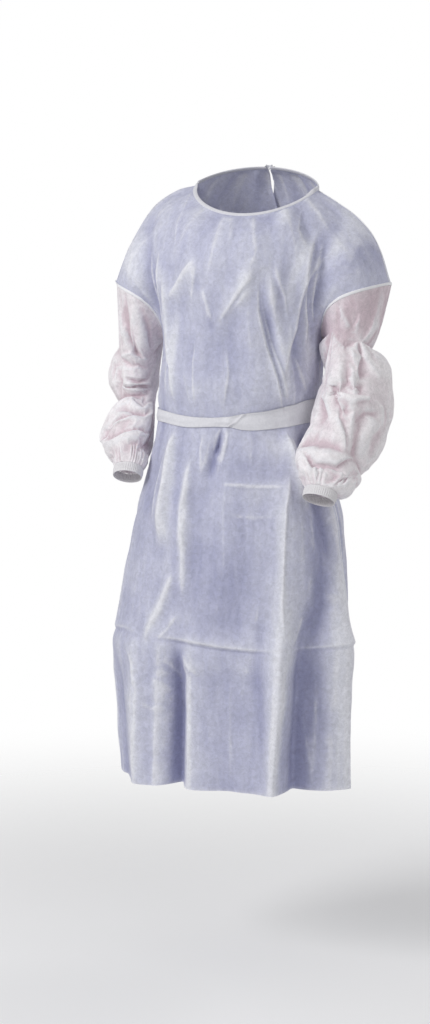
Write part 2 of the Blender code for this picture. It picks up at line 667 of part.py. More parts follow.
def add_tie_end(name, angle, top_z, length, width, drift, stand_off, start):
    """A flat end of tape that hangs from its knot down the back."""
    ups = np.linspace(2, 0, 400)
    centre_line = body_surface(1, np.zeros_like(ups), ups)[:, 2]
    down = np.linspace(1, 0, TIE_END_ROWS + 1)[:, None]
    heights = top_z - length * down
    up = np.interp(heights, centre_line[::-1], ups[::-1])
    edges = np.array([1, -1]) * width / 2
    share = (180.0 - angle) / 90.0 + (drift * down**1.4 + edges) / (math.pi / 2 * MEAN_RADIUS)
    grid = body_surface(1, share, np.broadcast_to(up, share.shape))
    normals = grid_normals(grid)
    lift = BACK_LIFT * smooth_step((NECK_END_Z - grid[..., 2:]) / 0.012) + stand_off
    lift = lift + start * smooth_step(1 - 8 * down)[..., None]
    add_wall(name, grid + normals * lift, normals, "tape", TAPE_WALL)


def add_knot(name, centre, size):
    """A small pulled knot: a flattened ball with a groove round its middle."""
    points = [centre + np.array([0.0, 0.0, size[2] / 2])]
    for ring in range(1, KNOT_RINGS):
        latitude = math.pi * ring / KNOT_RINGS
        for step in range(KNOT_POINTS):
            turn = 2 * math.pi * step / KNOT_POINTS
            pinch = 1 - 0.22 * math.exp(-((math.cos(turn) / 0.45) ** 2))
            reach = np.array([math.cos(turn), math.sin(turn), 0.0]) * math.sin(latitude)
            offset = reach + np.array([0.0, 0.0, math.cos(latitude) * pinch])
            points.append(centre + offset * np.array(size) / 2)
    points.append(centre - np.array([0.0, 0.0, size[2] / 2]))
    faces = []
    last = len(points) - 1
    for step in range(KNOT_POINTS):
        following = (step + 1) % KNOT_POINTS
        faces.append([0, 1 + step, 1 + following])
        base = 1 + (KNOT_RINGS - 2) * KNOT_POINTS
        faces.append([last, base + following, base + step])
        for ring in range(KNOT_RINGS - 2):
            low, high = 1 + ring * KNOT_POINTS, 1 + (ring + 1) * KNOT_POINTS
            faces.append([low + step, high + step, high + following, low + following])
    add_object(name, points, faces, "tape")


def main():
    for thing in list(bpy.data.objects):
        bpy.data.objects.remove(thing, do_unlink=True)
    grids, shares = body_grids()
    for name, hand in (("sleeve_left", 1), ("sleeve_right", -1)):
        grids[name] = sleeve_grid(hand, armhole_ring(grids, hand))
    normals = shared_normals(grids)
    for hand in (1, -1):
        even_armhole(normals, hand)
    for name in ("front", "back_left", "back_right"):
        add_wall(name, grids[name], normals[name], "body_cloth")
    for name, hand in (("left", 1), ("right", -1)):
        sleeve = grids["sleeve_" + name]
        sleeve[0] += unit(sleeve[1] - sleeve[0]) * ARMHOLE_GAP
        add_wall("sleeve_" + name, sleeve, normals["sleeve_" + name], "sleeve_cloth", closed=True)
        cuff = cuff_grid(hand, sleeve)
        add_wall("cuff_" + name, cuff, grid_normals(cuff, True), "cuff_knit", CUFF_WALL, closed=True)
    add_binding(grids, normals)
    tie = add_waist_tie(grids, shares, normals)
    waist = (tie[:, 0].mean(axis=0) + tie[:, -1].mean(axis=0)) / 2
    reach = TAPE_WALL / 2 + SEAM_GAP + WAIST_KNOT_SIZE[1] / 2
    add_knot("waist_tie_knot", waist + np.array([0.0, reach, WAIST_KNOT_DROP]), WAIST_KNOT_SIZE)
    neck = (grids["back_left"][-1, -1] + grids["back_right"][-1, 0]) / 2
    neck_out = unit(normals["back_left"][-1, -1] + normals["back_right"][-1, 0])
    add_knot("neck_tie_knot", neck + neck_out * NECK_KNOT_REACH, NECK_KNOT_SIZE)
    for name, sizes in TIE_ENDS.items():
        add_tie_end(name, *sizes)


main()
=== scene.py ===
"""Looks for the cover gown: thin creased cloth, seams, binding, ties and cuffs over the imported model.

The cloth is a thin sheet on the form that its solid holds. The body is one surface, read at an angle
round it and a height, as in the part's own source, whose tables are repeated here because this script
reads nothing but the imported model. An angle of 0 degrees is the centre front, 90 is the wearer's left
side and 180 the centre back. Lengths are in metres, +Z is up and the wearer faces -Y.
"""

import math

import bpy
import numpy as np
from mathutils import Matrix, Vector


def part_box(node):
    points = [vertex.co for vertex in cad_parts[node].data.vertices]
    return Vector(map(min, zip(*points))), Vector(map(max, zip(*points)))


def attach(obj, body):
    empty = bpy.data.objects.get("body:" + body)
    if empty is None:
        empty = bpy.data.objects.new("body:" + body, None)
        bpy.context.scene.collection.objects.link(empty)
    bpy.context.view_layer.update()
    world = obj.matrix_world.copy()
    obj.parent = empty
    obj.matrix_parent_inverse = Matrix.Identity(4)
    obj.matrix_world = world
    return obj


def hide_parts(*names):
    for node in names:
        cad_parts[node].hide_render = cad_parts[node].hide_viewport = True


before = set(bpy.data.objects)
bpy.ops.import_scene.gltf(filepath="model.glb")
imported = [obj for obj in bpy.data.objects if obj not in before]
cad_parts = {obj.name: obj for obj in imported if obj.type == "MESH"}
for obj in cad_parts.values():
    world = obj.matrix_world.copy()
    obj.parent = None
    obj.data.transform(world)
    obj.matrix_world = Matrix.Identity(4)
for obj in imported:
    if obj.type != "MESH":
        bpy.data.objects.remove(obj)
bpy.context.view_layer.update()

# Sizes of the form, the same as the solids'
HEM_Z = -1.047
UNDERARM_Z = -0.265
WAIST_Z = -0.400
BACK_OVERLAP = 0.090
BACK_EDGES_APART = 0.005
BACK_LIFT = 0.0042
NECK_SHARE = 0.5
NECK_HALF_WIDTH = 0.112
NECK_FRONT = 0.1035
NECK_FRONT_DROP = -0.050
NECK_BACK = 0.069
NECK_BACK_RISE = 0.034
NECK_TILT = -0.047
BINDING_HEIGHT = 0.0075
CUFF_HEIGHT = 0.017
CUFF_STITCHES = (0.0045, 0.0125)
CUFF_RADIUS_MM = 26
ARMHOLE_FRONT = 0.070
ARMHOLE_BACK = 0.076
ARMHOLE_RISE = 0.040
CHEST_FULLNESS = 0.030
BACK_FULLNESS = 0.036
ROUNDNESS = 0.65
MEAN_RADIUS = 0.185
SLEEVE_RADIUS = 0.062
SLEEVE_LENGTH = 0.42

# How finely the cloth is cut up
FRONT_COLUMNS = 224
BACK_COLUMNS = 120
SKIRT_ROWS = 290
CHEST_ROWS = 100
SLEEVE_ROWS = 180
CUFF_ROWS = 26
TIE_COLUMNS = 520

FLOOR_Z = -1.39
FLOOR_RADIUS = 2.4
FLOOR_CORNERS = 96

# The lamps: name, place, size and power in watts. All of them face one place.
LIGHTS = (
    ("key", (-1.7, -2.6, 1.3), 1.6, 66.0),
    ("fill", (2.3, -2.2, 0.4), 1.6, 12.0),
    ("back", (1.6, 2.8, 1.2), 1.8, 26.0),
)
LIT_PLACE = (-0.02, 0.0, -0.45)

CAMERA_PLACE = (1.2984, -3.9949, -0.1)
CAMERA_AZIMUTH = 19.0
CAMERA_DOWN = 6.412
CAMERA_LENS = 83.475
WORLD_LIGHT = 0.50


class Table:
    """Rows of named columns. The first column says where each row stands, and it rises."""

    def __init__(self, names, *rows):
        self.columns = {name: np.array([row[i] for row in rows], float) for i, name in enumerate(names)}
        self.places = self.columns[names[0]]

    def read(self, name, at):
        """One column on a smooth curve through its rows."""
        values = self.columns[name]
        slopes = np.gradient(values, self.places)
        low = np.clip(np.searchsorted(self.places, at) - 1, 0, len(self.places) - 2)
        span = self.places[low + 1] - self.places[low]
        u = np.clip((at - self.places[low]) / span, 0.0, 1.0)
        return (
            (1 + 2 * u) * (1 - u) ** 2 * values[low]
            + u * (1 - u) ** 2 * span * slopes[low]
            + u * u * (3 - 2 * u) * values[low + 1]
            - u * u * (1 - u) * span * slopes[low + 1]
        )

    def point(self, at):
        """The columns x, y and z together."""
        return np.stack([self.read(name, at) for name in "xyz"], -1)


BODY = Table(
    ("z", "centre_x", "centre_y", "half_width", "front", "back", "squareness"),
    (-1.047, -0.036, -0.004, 0.208, 0.154, 0.160, 2.5),
    (-0.930, -0.038, -0.010, 0.211, 0.154, 0.160, 2.4),
    (-0.820, -0.038, -0.016, 0.214, 0.152, 0.158, 2.3),
    (-0.700, -0.032, -0.020, 0.202, 0.146, 0.155, 2.2),
    (-0.568, -0.027, -0.021, 0.181, 0.136, 0.148, 2.2),
    (-0.470, -0.027, -0.021, 0.153, 0.121, 0.132, 2.1),
    (-0.400, -0.028, -0.020, 0.142, 0.112, 0.119, 2.1),
    (-0.335, -0.023, -0.017, 0.143, 0.124, 0.128, 2.1),
    (-0.265, -0.018, -0.010, 0.144, 0.122, 0.130, 2.1),
)

SHOULDER_NAMES = ("share", "x", "y", "z")
SHOULDERS = {
    1: Table(
        SHOULDER_NAMES,
        (0.00, 0.112, 0.000, -0.005),
        (0.25, 0.149, -0.002, -0.027),
        (0.50, 0.188, -0.004, -0.055),
        (0.75, 0.220, -0.004, -0.096),
        (1.00, 0.242, 0.000, -0.166),
    ),
    -1: Table(
        SHOULDER_NAMES,
        (0.00, -0.112, 0.000, 0.005),
        (0.25, -0.150, -0.001, -0.005),
        (0.50, -0.193, -0.003, -0.035),
        (0.75, -0.229, -0.003, -0.091),
        (1.00, -0.257, 0.002, -0.164),
    ),
}

# The largest folds, which the solids have too: from_angle, from_z, to_angle, to_z, height, half_width
BODY_FOLDS = (
    (54, -0.40, 45, -1.00, 0.012, 0.045),
    (47, -0.66, 32, -1.40, 0.021, 0.034),
    (60, -0.68, 46, -1.40, -0.036, 0.045),
    (80, -0.60, 75, -1.40, 0.026, 0.042),
    (106, -0.66, 104, -1.45, -0.020, 0.060),
    (15, -0.78, 12, -1.40, -0.010, 0.050),
    (-19, -0.74, -32, -1.40, -0.044, 0.034),
    (-46, -0.76, -49, -1.35, 0.012, 0.028),
    (-68, -0.78, -68, -1.40, -0.014, 0.050),
    (-90, -0.70, -90, -1.45, 0.010, 0.040),
    (-41, -0.36, -38, -0.64, 0.012, 0.024),
    (-24, -0.46, -18, -0.72, 0.009, 0.020),
    (-24, -0.65, -43, -0.80, 0.006, 0.020),
    (7, -0.37, -7, -0.51, -0.008, 0.019),
    (57, -0.35, 62, -0.57, 0.010, 0.022),
    (73, -0.36, 75, -0.66, -0.014, 0.030),
    (72, -0.64, 60, -0.80, -0.006, 0.024),
    (-120, -0.80, 120, -0.80, 0.006, 0.050),
    (2, -0.515, 56, -0.520, 0.003, 0.030),
    (-16, -0.110, -50, -0.200, 0.005, 0.030),
    (-6, -0.260, 24, -0.120, 0.005, 0.030),
    (30, -0.130, 60, -0.400, 0.010, 0.034),
    (-55, -0.120, -40, -0.400, 0.010, 0.034),
    (58, 0.020, 76, -0.300, -0.012, 0.046),
    (-64, 0.020, -73, -0.290, -0.012, 0.040),
    (122, 0.000, 108, -0.33, -0.020, 0.032),
    (-122, 0.000, -108, -0.33, -0.020, 0.032),
    (146, -0.10, 132, -0.40, 0.009, 0.034),
    (-150, -0.12, -138, -0.40, 0.009, 0.034),
    (150, -0.36, 146, -1.45, 0.016, 0.045),
    (-152, -0.36, -148, -1.45, 0.014, 0.045),
    (128, -0.38, 126, -1.45, -0.016, 0.040),
    (-126, -0.38, -124, -1.45, -0.014, 0.040),
)

ARM_NAMES = ("share", "x", "y", "z", "turned_up", "outer", "front", "inner", "back")
ARMS = {
    1: Table(
        ARM_NAMES,
        (0.00, 0.184, -0.002, -0.215, 40, 0.078, 0.070, 0.078, 0.076),
        (0.06, 0.184, -0.006, -0.237, 37, 0.062, 0.070, 0.056, 0.074),
        (0.12, 0.182, -0.012, -0.257, 30, 0.049, 0.064, 0.046, 0.068),
        (0.21, 0.174, -0.020, -0.281, 14, 0.034, 0.058, 0.042, 0.056),
        (0.29, 0.180, -0.024, -0.305, 2, 0.070, 0.064, 0.047, 0.064),
        (0.39, 0.184, -0.027, -0.334, -6, 0.075, 0.080, 0.050, 0.070),
        (0.50, 0.186, -0.034, -0.368, -8, 0.075, 0.092, 0.054, 0.074),
        (0.60, 0.187, -0.052, -0.397, -6, 0.070, 0.086, 0.058, 0.078),
        (0.69, 0.182, -0.079, -0.424, 0, 0.058, 0.066, 0.056, 0.068),
        (0.78, 0.170, -0.106, -0.451, 0, 0.050, 0.052, 0.056, 0.054),
        (0.86, 0.168, -0.125, -0.474, 0, 0.056, 0.054, 0.054, 0.058),
        (0.94, 0.167, -0.141, -0.499, 0, 0.052, 0.038, 0.042, 0.042),
        (1.00, 0.165, -0.150, -0.514, 0, 0.029, 0.025, 0.029, 0.025),
    ),
    -1: Table(
        ARM_NAMES,
        (0.00, -0.210, 0.000, -0.215, 45, 0.068, 0.070, 0.068, 0.076),
        (0.06, -0.216, 0.003, -0.234, 38, 0.061, 0.068, 0.053, 0.072),
        (0.12, -0.220, 0.006, -0.253, 29, 0.053, 0.064, 0.044, 0.066),
        (0.22, -0.226, 0.014, -0.282, 8, 0.041, 0.056, 0.042, 0.056),
        (0.31, -0.233, 0.020, -0.310, 0, 0.052, 0.058, 0.044, 0.060),
        (0.40, -0.238, 0.022, -0.334, 0, 0.055, 0.060, 0.046, 0.062),
        (0.50, -0.238, 0.018, -0.364, 0, 0.039, 0.056, 0.046, 0.058),
        (0.57, -0.236, 0.006, -0.386, 0, 0.024, 0.050, 0.042, 0.050),
        (0.67, -0.228, -0.024, -0.412, 0, 0.048, 0.056, 0.040, 0.054),
        (0.78, -0.216, -0.054, -0.438, 0, 0.052, 0.054, 0.036, 0.052),
        (0.86, -0.210, -0.076, -0.458, 0, 0.044, 0.046, 0.031, 0.044),
        (0.92, -0.205, -0.088, -0.472, 0, 0.033, 0.032, 0.030, 0.033),
        (1.00, -0.2035, -0.100, -0.490, 0, 0.026, 0.024, 0.026, 0.024),
    ),
}

SLEEVE_FOLDS = {
    1: (
        (165, 0.10, 160, 0.42, 0.011, 0.050),
        (160, 0.36, 165, 0.72, 0.010, 0.050),
        (20, 0.02, 40, 0.30, 0.008, 0.024),
        (60, 0.26, 190, 0.34, -0.007, 0.018),
        (40, 0.40, 150, 0.46, -0.007, 0.018),
        (120, 0.52, 60, 0.66, -0.008, 0.018),
        (300, 0.46, 350, 0.60, -0.008, 0.020),
        (170, 0.79, 30, 0.80, -0.006, 0.014),
        (30, 0.60, 0, 0.76, 0.007, 0.018),
    ),
    -1: (
        (60, 0.02, 120, 0.22, -0.006, 0.018),
        (340, 0.24, 460, 0.28, -0.006, 0.016),
        (150, 0.40, 60, 0.42, -0.006, 0.014),
        (160, 0.50, 70, 0.49, -0.005, 0.014),
        (330, 0.56, 480, 0.58, -0.006, 0.016),
        (150, 0.72, 40, 0.75, -0.006, 0.014),
    ),
}

WAIST_TIE = Table(
    ("angle", "z", "width"),
    (-180, -0.402, 0.030),
    (-110, -0.399, 0.024),
    (-56, -0.398, 0.021),
    (-30, -0.404, 0.020),
    (2, -0.403, 0.017),
    (13, -0.402, 0.020),
    (22, -0.402, 0.028),
    (45, -0.398, 0.034),
    (55, -0.394, 0.037),
    (80, -0.386, 0.041),
    (110, -0.387, 0.040),
    (180, -0.402, 0.030),
)

# name: angle and height of the start, length, the width that it was cut to, its width round the mean
# radius, drift, distance off the back, extra at the start
TIE_ENDS = {
    "waist_tie_end_left": (176.8, -0.4195, 0.270, 0.023, 0.026, 0.026, 0.0024, 0.006),
    "waist_tie_end_right": (185.2, -0.4195, 0.240, 0.021, 0.024, -0.030, 0.0024, 0.006),
    "neck_tie_end_left": (178.2, 0.0312, 0.165, 0.015, 0.010, 0.012, 0.0023, 0.0022),
    "neck_tie_end_right": (182.2, 0.0316, 0.145, 0.015, 0.010, -0.014, 0.0023, 0.0026),
}
NECK_END_Z = 0.041

# Creases in the thin cloth. Columns: height in mm before CREASE_DEPTH (a trough where negative), its width
# in mm on the side of the smaller angle and on the other side when it is followed downwards, how sharp it
# is from 0 to 1, how white its crest is painted as a highlight, and then the points it runs through, each an
# angle and a height in mm. crease_relief draws the narrower width in by CREASE_NARROW and lets the wider out
# by CREASE_WIDE.
CREASES = (
    # the chest
    (2.6, 9, 14, 0.8, 0.8, (-17, -122), (-30, -148), (-48, -190)),
    (1.8, 14, 8, 0.7, 0.3, (-18, -128), (-21, -160), (-26, -200)),
    (2.0, 14, 9, 0.9, 0.7, (-15, -166), (-11, -200), (-6.5, -236)),
    (2.8, 13, 15, 0.6, 0.9, (-5, -236), (5, -205), (13, -172), (22, -146)),
    (1.4, 8, 8, 0.8, 0.5, (2, -224), (12, -196), (19, -166)),
    (5.0, 34, 8, 0.9, 1.0, (23, -146), (27, -210), (35, -271), (47, -342), (54, -386), (58, -412)),
    (-3.0, 8, 22, 0.3, 0.0, (27, -165), (32, -210), (41, -271), (52, -330), (59, -380)),
    (2.6, 10, 14, 0.8, 0.6, (33, -120), (37.5, -148), (46.5, -186), (51, -232)),
    (5.0, 20, 12, 0.5, 0.9, (69, -85), (67, -130), (61, -190), (57, -242), (51.5, -279), (48, -350)),
    (2.6, 8, 16, 0.8, 0.5, (55, -284), (64, -322), (76, -361)),
    (5.0, 12, 9, 0.6, 0.4, (55, -60), (59, -110), (64, -170), (69, -235), (66, -290)),
    (-5.0, 8, 12, 0.6, 0.0, (62, -80), (68, -130), (75, -190), (80, -245)),
    (5.5, 10, 12, 0.5, 0.4, (-58, -100), (-62, -160), (-64, -215), (-60, -270)),
    (-4.0, 10, 9, 0.4, 0.0, (-66, -80), (-73, -150), (-78, -210), (-80, -245)),
    (4.0, 12, 14, 0.5, 0.9, (-52, -150), (-54.5, -222), (-48, -290), (-43, -312), (-40, -392)),
    (2.0, 10, 10, 0.7, 0.5, (-60, -255), (-52, -300), (-50, -370)),
    (1.6, 9, 16, 0.6, 0.3, (-22, -245), (-24, -300), (-20, -385)),
    (1.5, 14, 9, 0.6, 0.3, (3, -265), (8, -320), (6, -385)),
    (1.4, 12, 12, 0.5, 0.2, (-36, 0), (-42, -60), (-40, -120)),
    (1.6, 14, 10, 0.5, 0.3, (40, -30), (46, -75), (58, -110)),
    (1.2, 10, 12, 0.5, 0.2, (12, -75), (18, -110), (17, -140)),
    # below the waist tie
    (5.0, 20, 20, 0.3, 0.8, (-39, -409), (-42.5, -462), (-41, -516), (-38, -566), (-31, -625)),
    (2.4, 8, 10, 0.8, 0.5, (-47, -440), (-50, -520), (-46, -600)),
    (3.0, 12, 12, 0.4, 0.6, (-19, -500), (-25, -558), (-22, -594), (-17, -640)),
    (-4.5, 6, 11, 0.6, 0.0, (6, -409), (2, -430), (-3, -462)),
    (2.0, 12, 8, 0.7, 0.4, (11, -409), (9, -440), (4, -480)),
    (4.0, 16, 7, 0.8, 0.8, (56, -405), (58.5, -459), (59, -499), (62, -545)),
    (-3.0, 6, 16, 0.4, 0.0, (61, -415), (64, -470), (66, -540)),
    (1.2, 18, 18, 0.3, 0.2, (28, -412), (30, -440), (27, -480)),
    (1.6, 10, 12, 0.6, 0.3, (-12, -415), (-14, -450), (-12, -500)),
    # the package creases, pressed in
    (3.6, 22, 16, 1.0, 1.0, (56, -470), (48.5, -550), (47, -591), (45.5, -715), (47, -797)),
    (4.2, 24, 20, 1.0, 1.0, (47, -797), (45, -881), (41.5, -953), (38.5, -1060)),
    (-3.2, 12, 12, 1.0, 0.0, (-42, -783), (-15, -788), (8, -795), (30, -799), (50, -799)),
    (-2.0, 12, 10, 1.0, 0.0, (44, -799), (63, -799), (79, -795), (98, -798), (140, -797)),
    (-2.6, 10, 12, 1.0, 0.0, (-36, -786), (-60, -778), (-90, -790), (-140, -797)),
    (-1.8, 18, 7, 0.9, 0.0, (4, -514), (26, -517), (54, -520)),
    (1.2, 7, 7, 1.0, 0.9, (3, -508), (26, -511), (55, -514)),
    (1.8, 5, 8, 1.0, 1.0, (-42, -776), (-15, -781), (8, -788), (30, -792), (50, -792)),
    (1.5, 5, 8, 1.0, 0.9, (44, -792), (63, -792), (79, -788), (98, -791), (140, -790)),
    (1.4, 8, 5, 1.0, 1.0, (56, -470), (48.5, -550), (47, -591), (45.5, -715), (47, -797)),
    (1.6, 8, 5, 1.0, 1.0, (47, -797), (45, -881), (41.5, -953), (38.5, -1060)),
    (-1.4, 5, 7, 1.0, 0.0, (49, -797), (47.5, -881), (44, -953), (41, -1060)),
    (1.0, 8, 30, 0.6, 0.0, (8, -560), (30, -566), (50, -560)),
    # the lower skirt
    (3.0, 10, 16, 0.7, 0.7, (-58, -782), (-48, -830), (-44, -875), (-45, -944), (-48, -1050)),
    (2.4, 9, 12, 0.8, 0.6, (-12, -830), (-13, -930), (-12.5, -1050)),
    (2.2, 24, 24, 0.2, 0.4, (17, -820), (16, -930), (14, -1055)),
    (2.2, 10, 10, 0.7, 0.8, (-26, -670), (-32, -730), (-41, -778)),
    (1.4, 8, 8, 0.8, 0.5, (-20, -735), (-27, -765), (-33, -785)),
    (1.6, 7, 9, 0.9, 0.7, (-17, -800), (-14, -823), (-1, -845)),
    (1.4, 7, 7, 0.9, 0.6, (-12, -870), (-13, -840), (-18, -818)),
    (1.2, 7, 7, 0.8, 0.6, (-43, -893), (-37, -908), (-29, -902)),
    (1.2, 8, 6, 0.8, 0.5, (-38, -850), (-31, -862), (-25, -880)),
    (1.1, 7, 8, 0.8, 0.5, (-30, -815), (-24, -835), (-20, -862)),
    (-3.0, 12, 14, 0.4, 0.0, (71, -700), (67, -740), (63, -775)),
    (1.8, 10, 10, 0.6, 0.5, (58, -730), (54, -765), (50, -790)),
    (1.6, 12, 12, 0.5, 0.3, (66, -830), (64, -930), (62, -1050)),
    (2.0, 12, 12, 0.4, 0.3, (86, -560), (84, -650), (88, -760)),
    # the wearer's right side
    (2.6, 12, 10, 0.6, 0.5, (-70, -300), (-74, -350), (-68, -392)),
    (2.6, 10, 14, 0.7, 0.5, (-66, -415), (-72, -500), (-70, -600)),
    (-3.2, 14, 12, 0.5, 0.0, (-82, -410), (-86, -480), (-84, -580)),
    (3.0, 14, 12, 0.6, 0.5, (-96, -405), (-100, -520), (-104, -680)),
    (2.0, 12, 14, 0.6, 0.4, (-78, -640), (-76, -720), (-80, -790)),
    (2.6, 14, 12, 0.7, 0.5, (-84, -800), (-80, -900), (-82, -1050)),
    (-2.4, 12, 14, 0.4, 0.0, (-98, -810), (-102, -920), (-100, -1050)),
    (2.4, 12, 12, 0.6, 0.4, (-92, -290), (-86, -330), (-88, -388)),
    # the wearer's left side
    (2.8, 14, 10, 0.6, 0.5, (84, -290), (90, -335), (86, -370)),
    (-3.0, 12, 12, 0.5, 0.0, (76, -420), (78, -500), (82, -580)),
    (3.2, 12, 16, 0.6, 0.6, (92, -415), (96, -540), (92, -690)),
    (2.2, 14, 12, 0.6, 0.4, (104, -420), (112, -520), (116, -660)),
    (3.0, 14, 14, 0.7, 0.6, (96, -805), (93, -900), (95, -1050)),
    (-2.4, 12, 14, 0.4, 0.0, (84, -810), (80, -920), (81, -1050)),
    (2.0, 12, 12, 0.5, 0.3, (108, -700), (106, -780), (112, -860)),
    # the back, above the waist
    (3.0, 14, 12, 0.7, 0.6, (168, -385), (156, -320), (144, -230), (138, -150)),
    (3.0, 12, 14, 0.7, 0.6, (-168, -385), (-157, -330), (-146, -250), (-141, -170)),
    (2.2, 12, 10, 0.7, 0.5, (172, -380), (166, -300), (158, -200)),
    (2.2, 10, 12, 0.7, 0.5, (-171, -380), (-163, -290), (-160, -210)),
    (-3.2, 12, 12, 0.5, 0.0, (118, -80), (112, -170), (106, -300)),
    (-3.2, 12, 12, 0.5, 0.0, (-118, -70), (-113, -180), (-107, -290)),
    (2.2, 12, 12, 0.6, 0.4, (130, -120), (124, -220), (126, -350)),
    (2.2, 12, 12, 0.6, 0.4, (-128, -130), (-124, -240), (-128, -360)),
    (1.8, 12, 14, 0.5, 0.3, (152, -20), (146, -80), (136, -110)),
    (1.8, 14, 12, 0.5, 0.3, (-150, -10), (-144, -70), (-136, -115)),
    (1.6, 12, 12, 0.5, 0.3, (178, -60), (176, -150), (179, -260)),
    # the back, below the waist
    (3.4, 12, 14, 0.7, 0.6, (170, -430), (158, -520), (150, -640)),
    (3.4, 14, 12, 0.7, 0.6, (-170, -430), (-160, -540), (-154, -650)),
    (-3.0, 10, 10, 0.5, 0.0, (163, -425), (152, -480), (144, -560)),
    (-3.0, 10, 10, 0.5, 0.0, (-162, -425), (-150, -500), (-143, -590)),
    (2.4, 12, 12, 0.6, 0.4, (140, -415), (134, -500), (136, -620)),
    (2.4, 12, 12, 0.6, 0.4, (-138, -415), (-132, -510), (-135, -640)),
    (3.6, 20, 20, 1.0, 0.9, (134, -520), (136, -660), (135, -797)),
    (3.8, 22, 18, 1.0, 0.9, (135, -797), (137, -920), (136, -1060)),
    (3.6, 18, 22, 1.0, 0.9, (-137, -500), (-135, -650), (-136, -797)),
    (3.8, 18, 22, 1.0, 0.9, (-136, -797), (-134, -930), (-136, -1060)),
    (-2.8, 12, 12, 1.0, 0.0, (128, -797), (155, -794), (180, -797), (-155, -799), (-128, -796)),
    (-1.6, 14, 8, 0.9, 0.0, (140, -520), (165, -523), (-170, -518), (-140, -521)),
    (2.4, 12, 14, 0.7, 0.5, (160, -700), (163, -750), (158, -795)),
    (2.2, 12, 12, 0.7, 0.5, (-160, -720), (-166, -760), (-162, -796)),
    (2.6, 14, 14, 0.6, 0.5, (158, -815), (161, -920), (160, -1050)),
    (2.4, 14, 14, 0.6, 0.5, (-162, -810), (-159, -930), (-161, -1050)),
    (-2.6, 14, 14, 0.4, 0.0, (147, -830), (149, -930), (148, -1050)),
    (-2.6, 14, 14, 0.4, 0.0, (-149, -820), (-147, -940), (-148, -1050)),
)

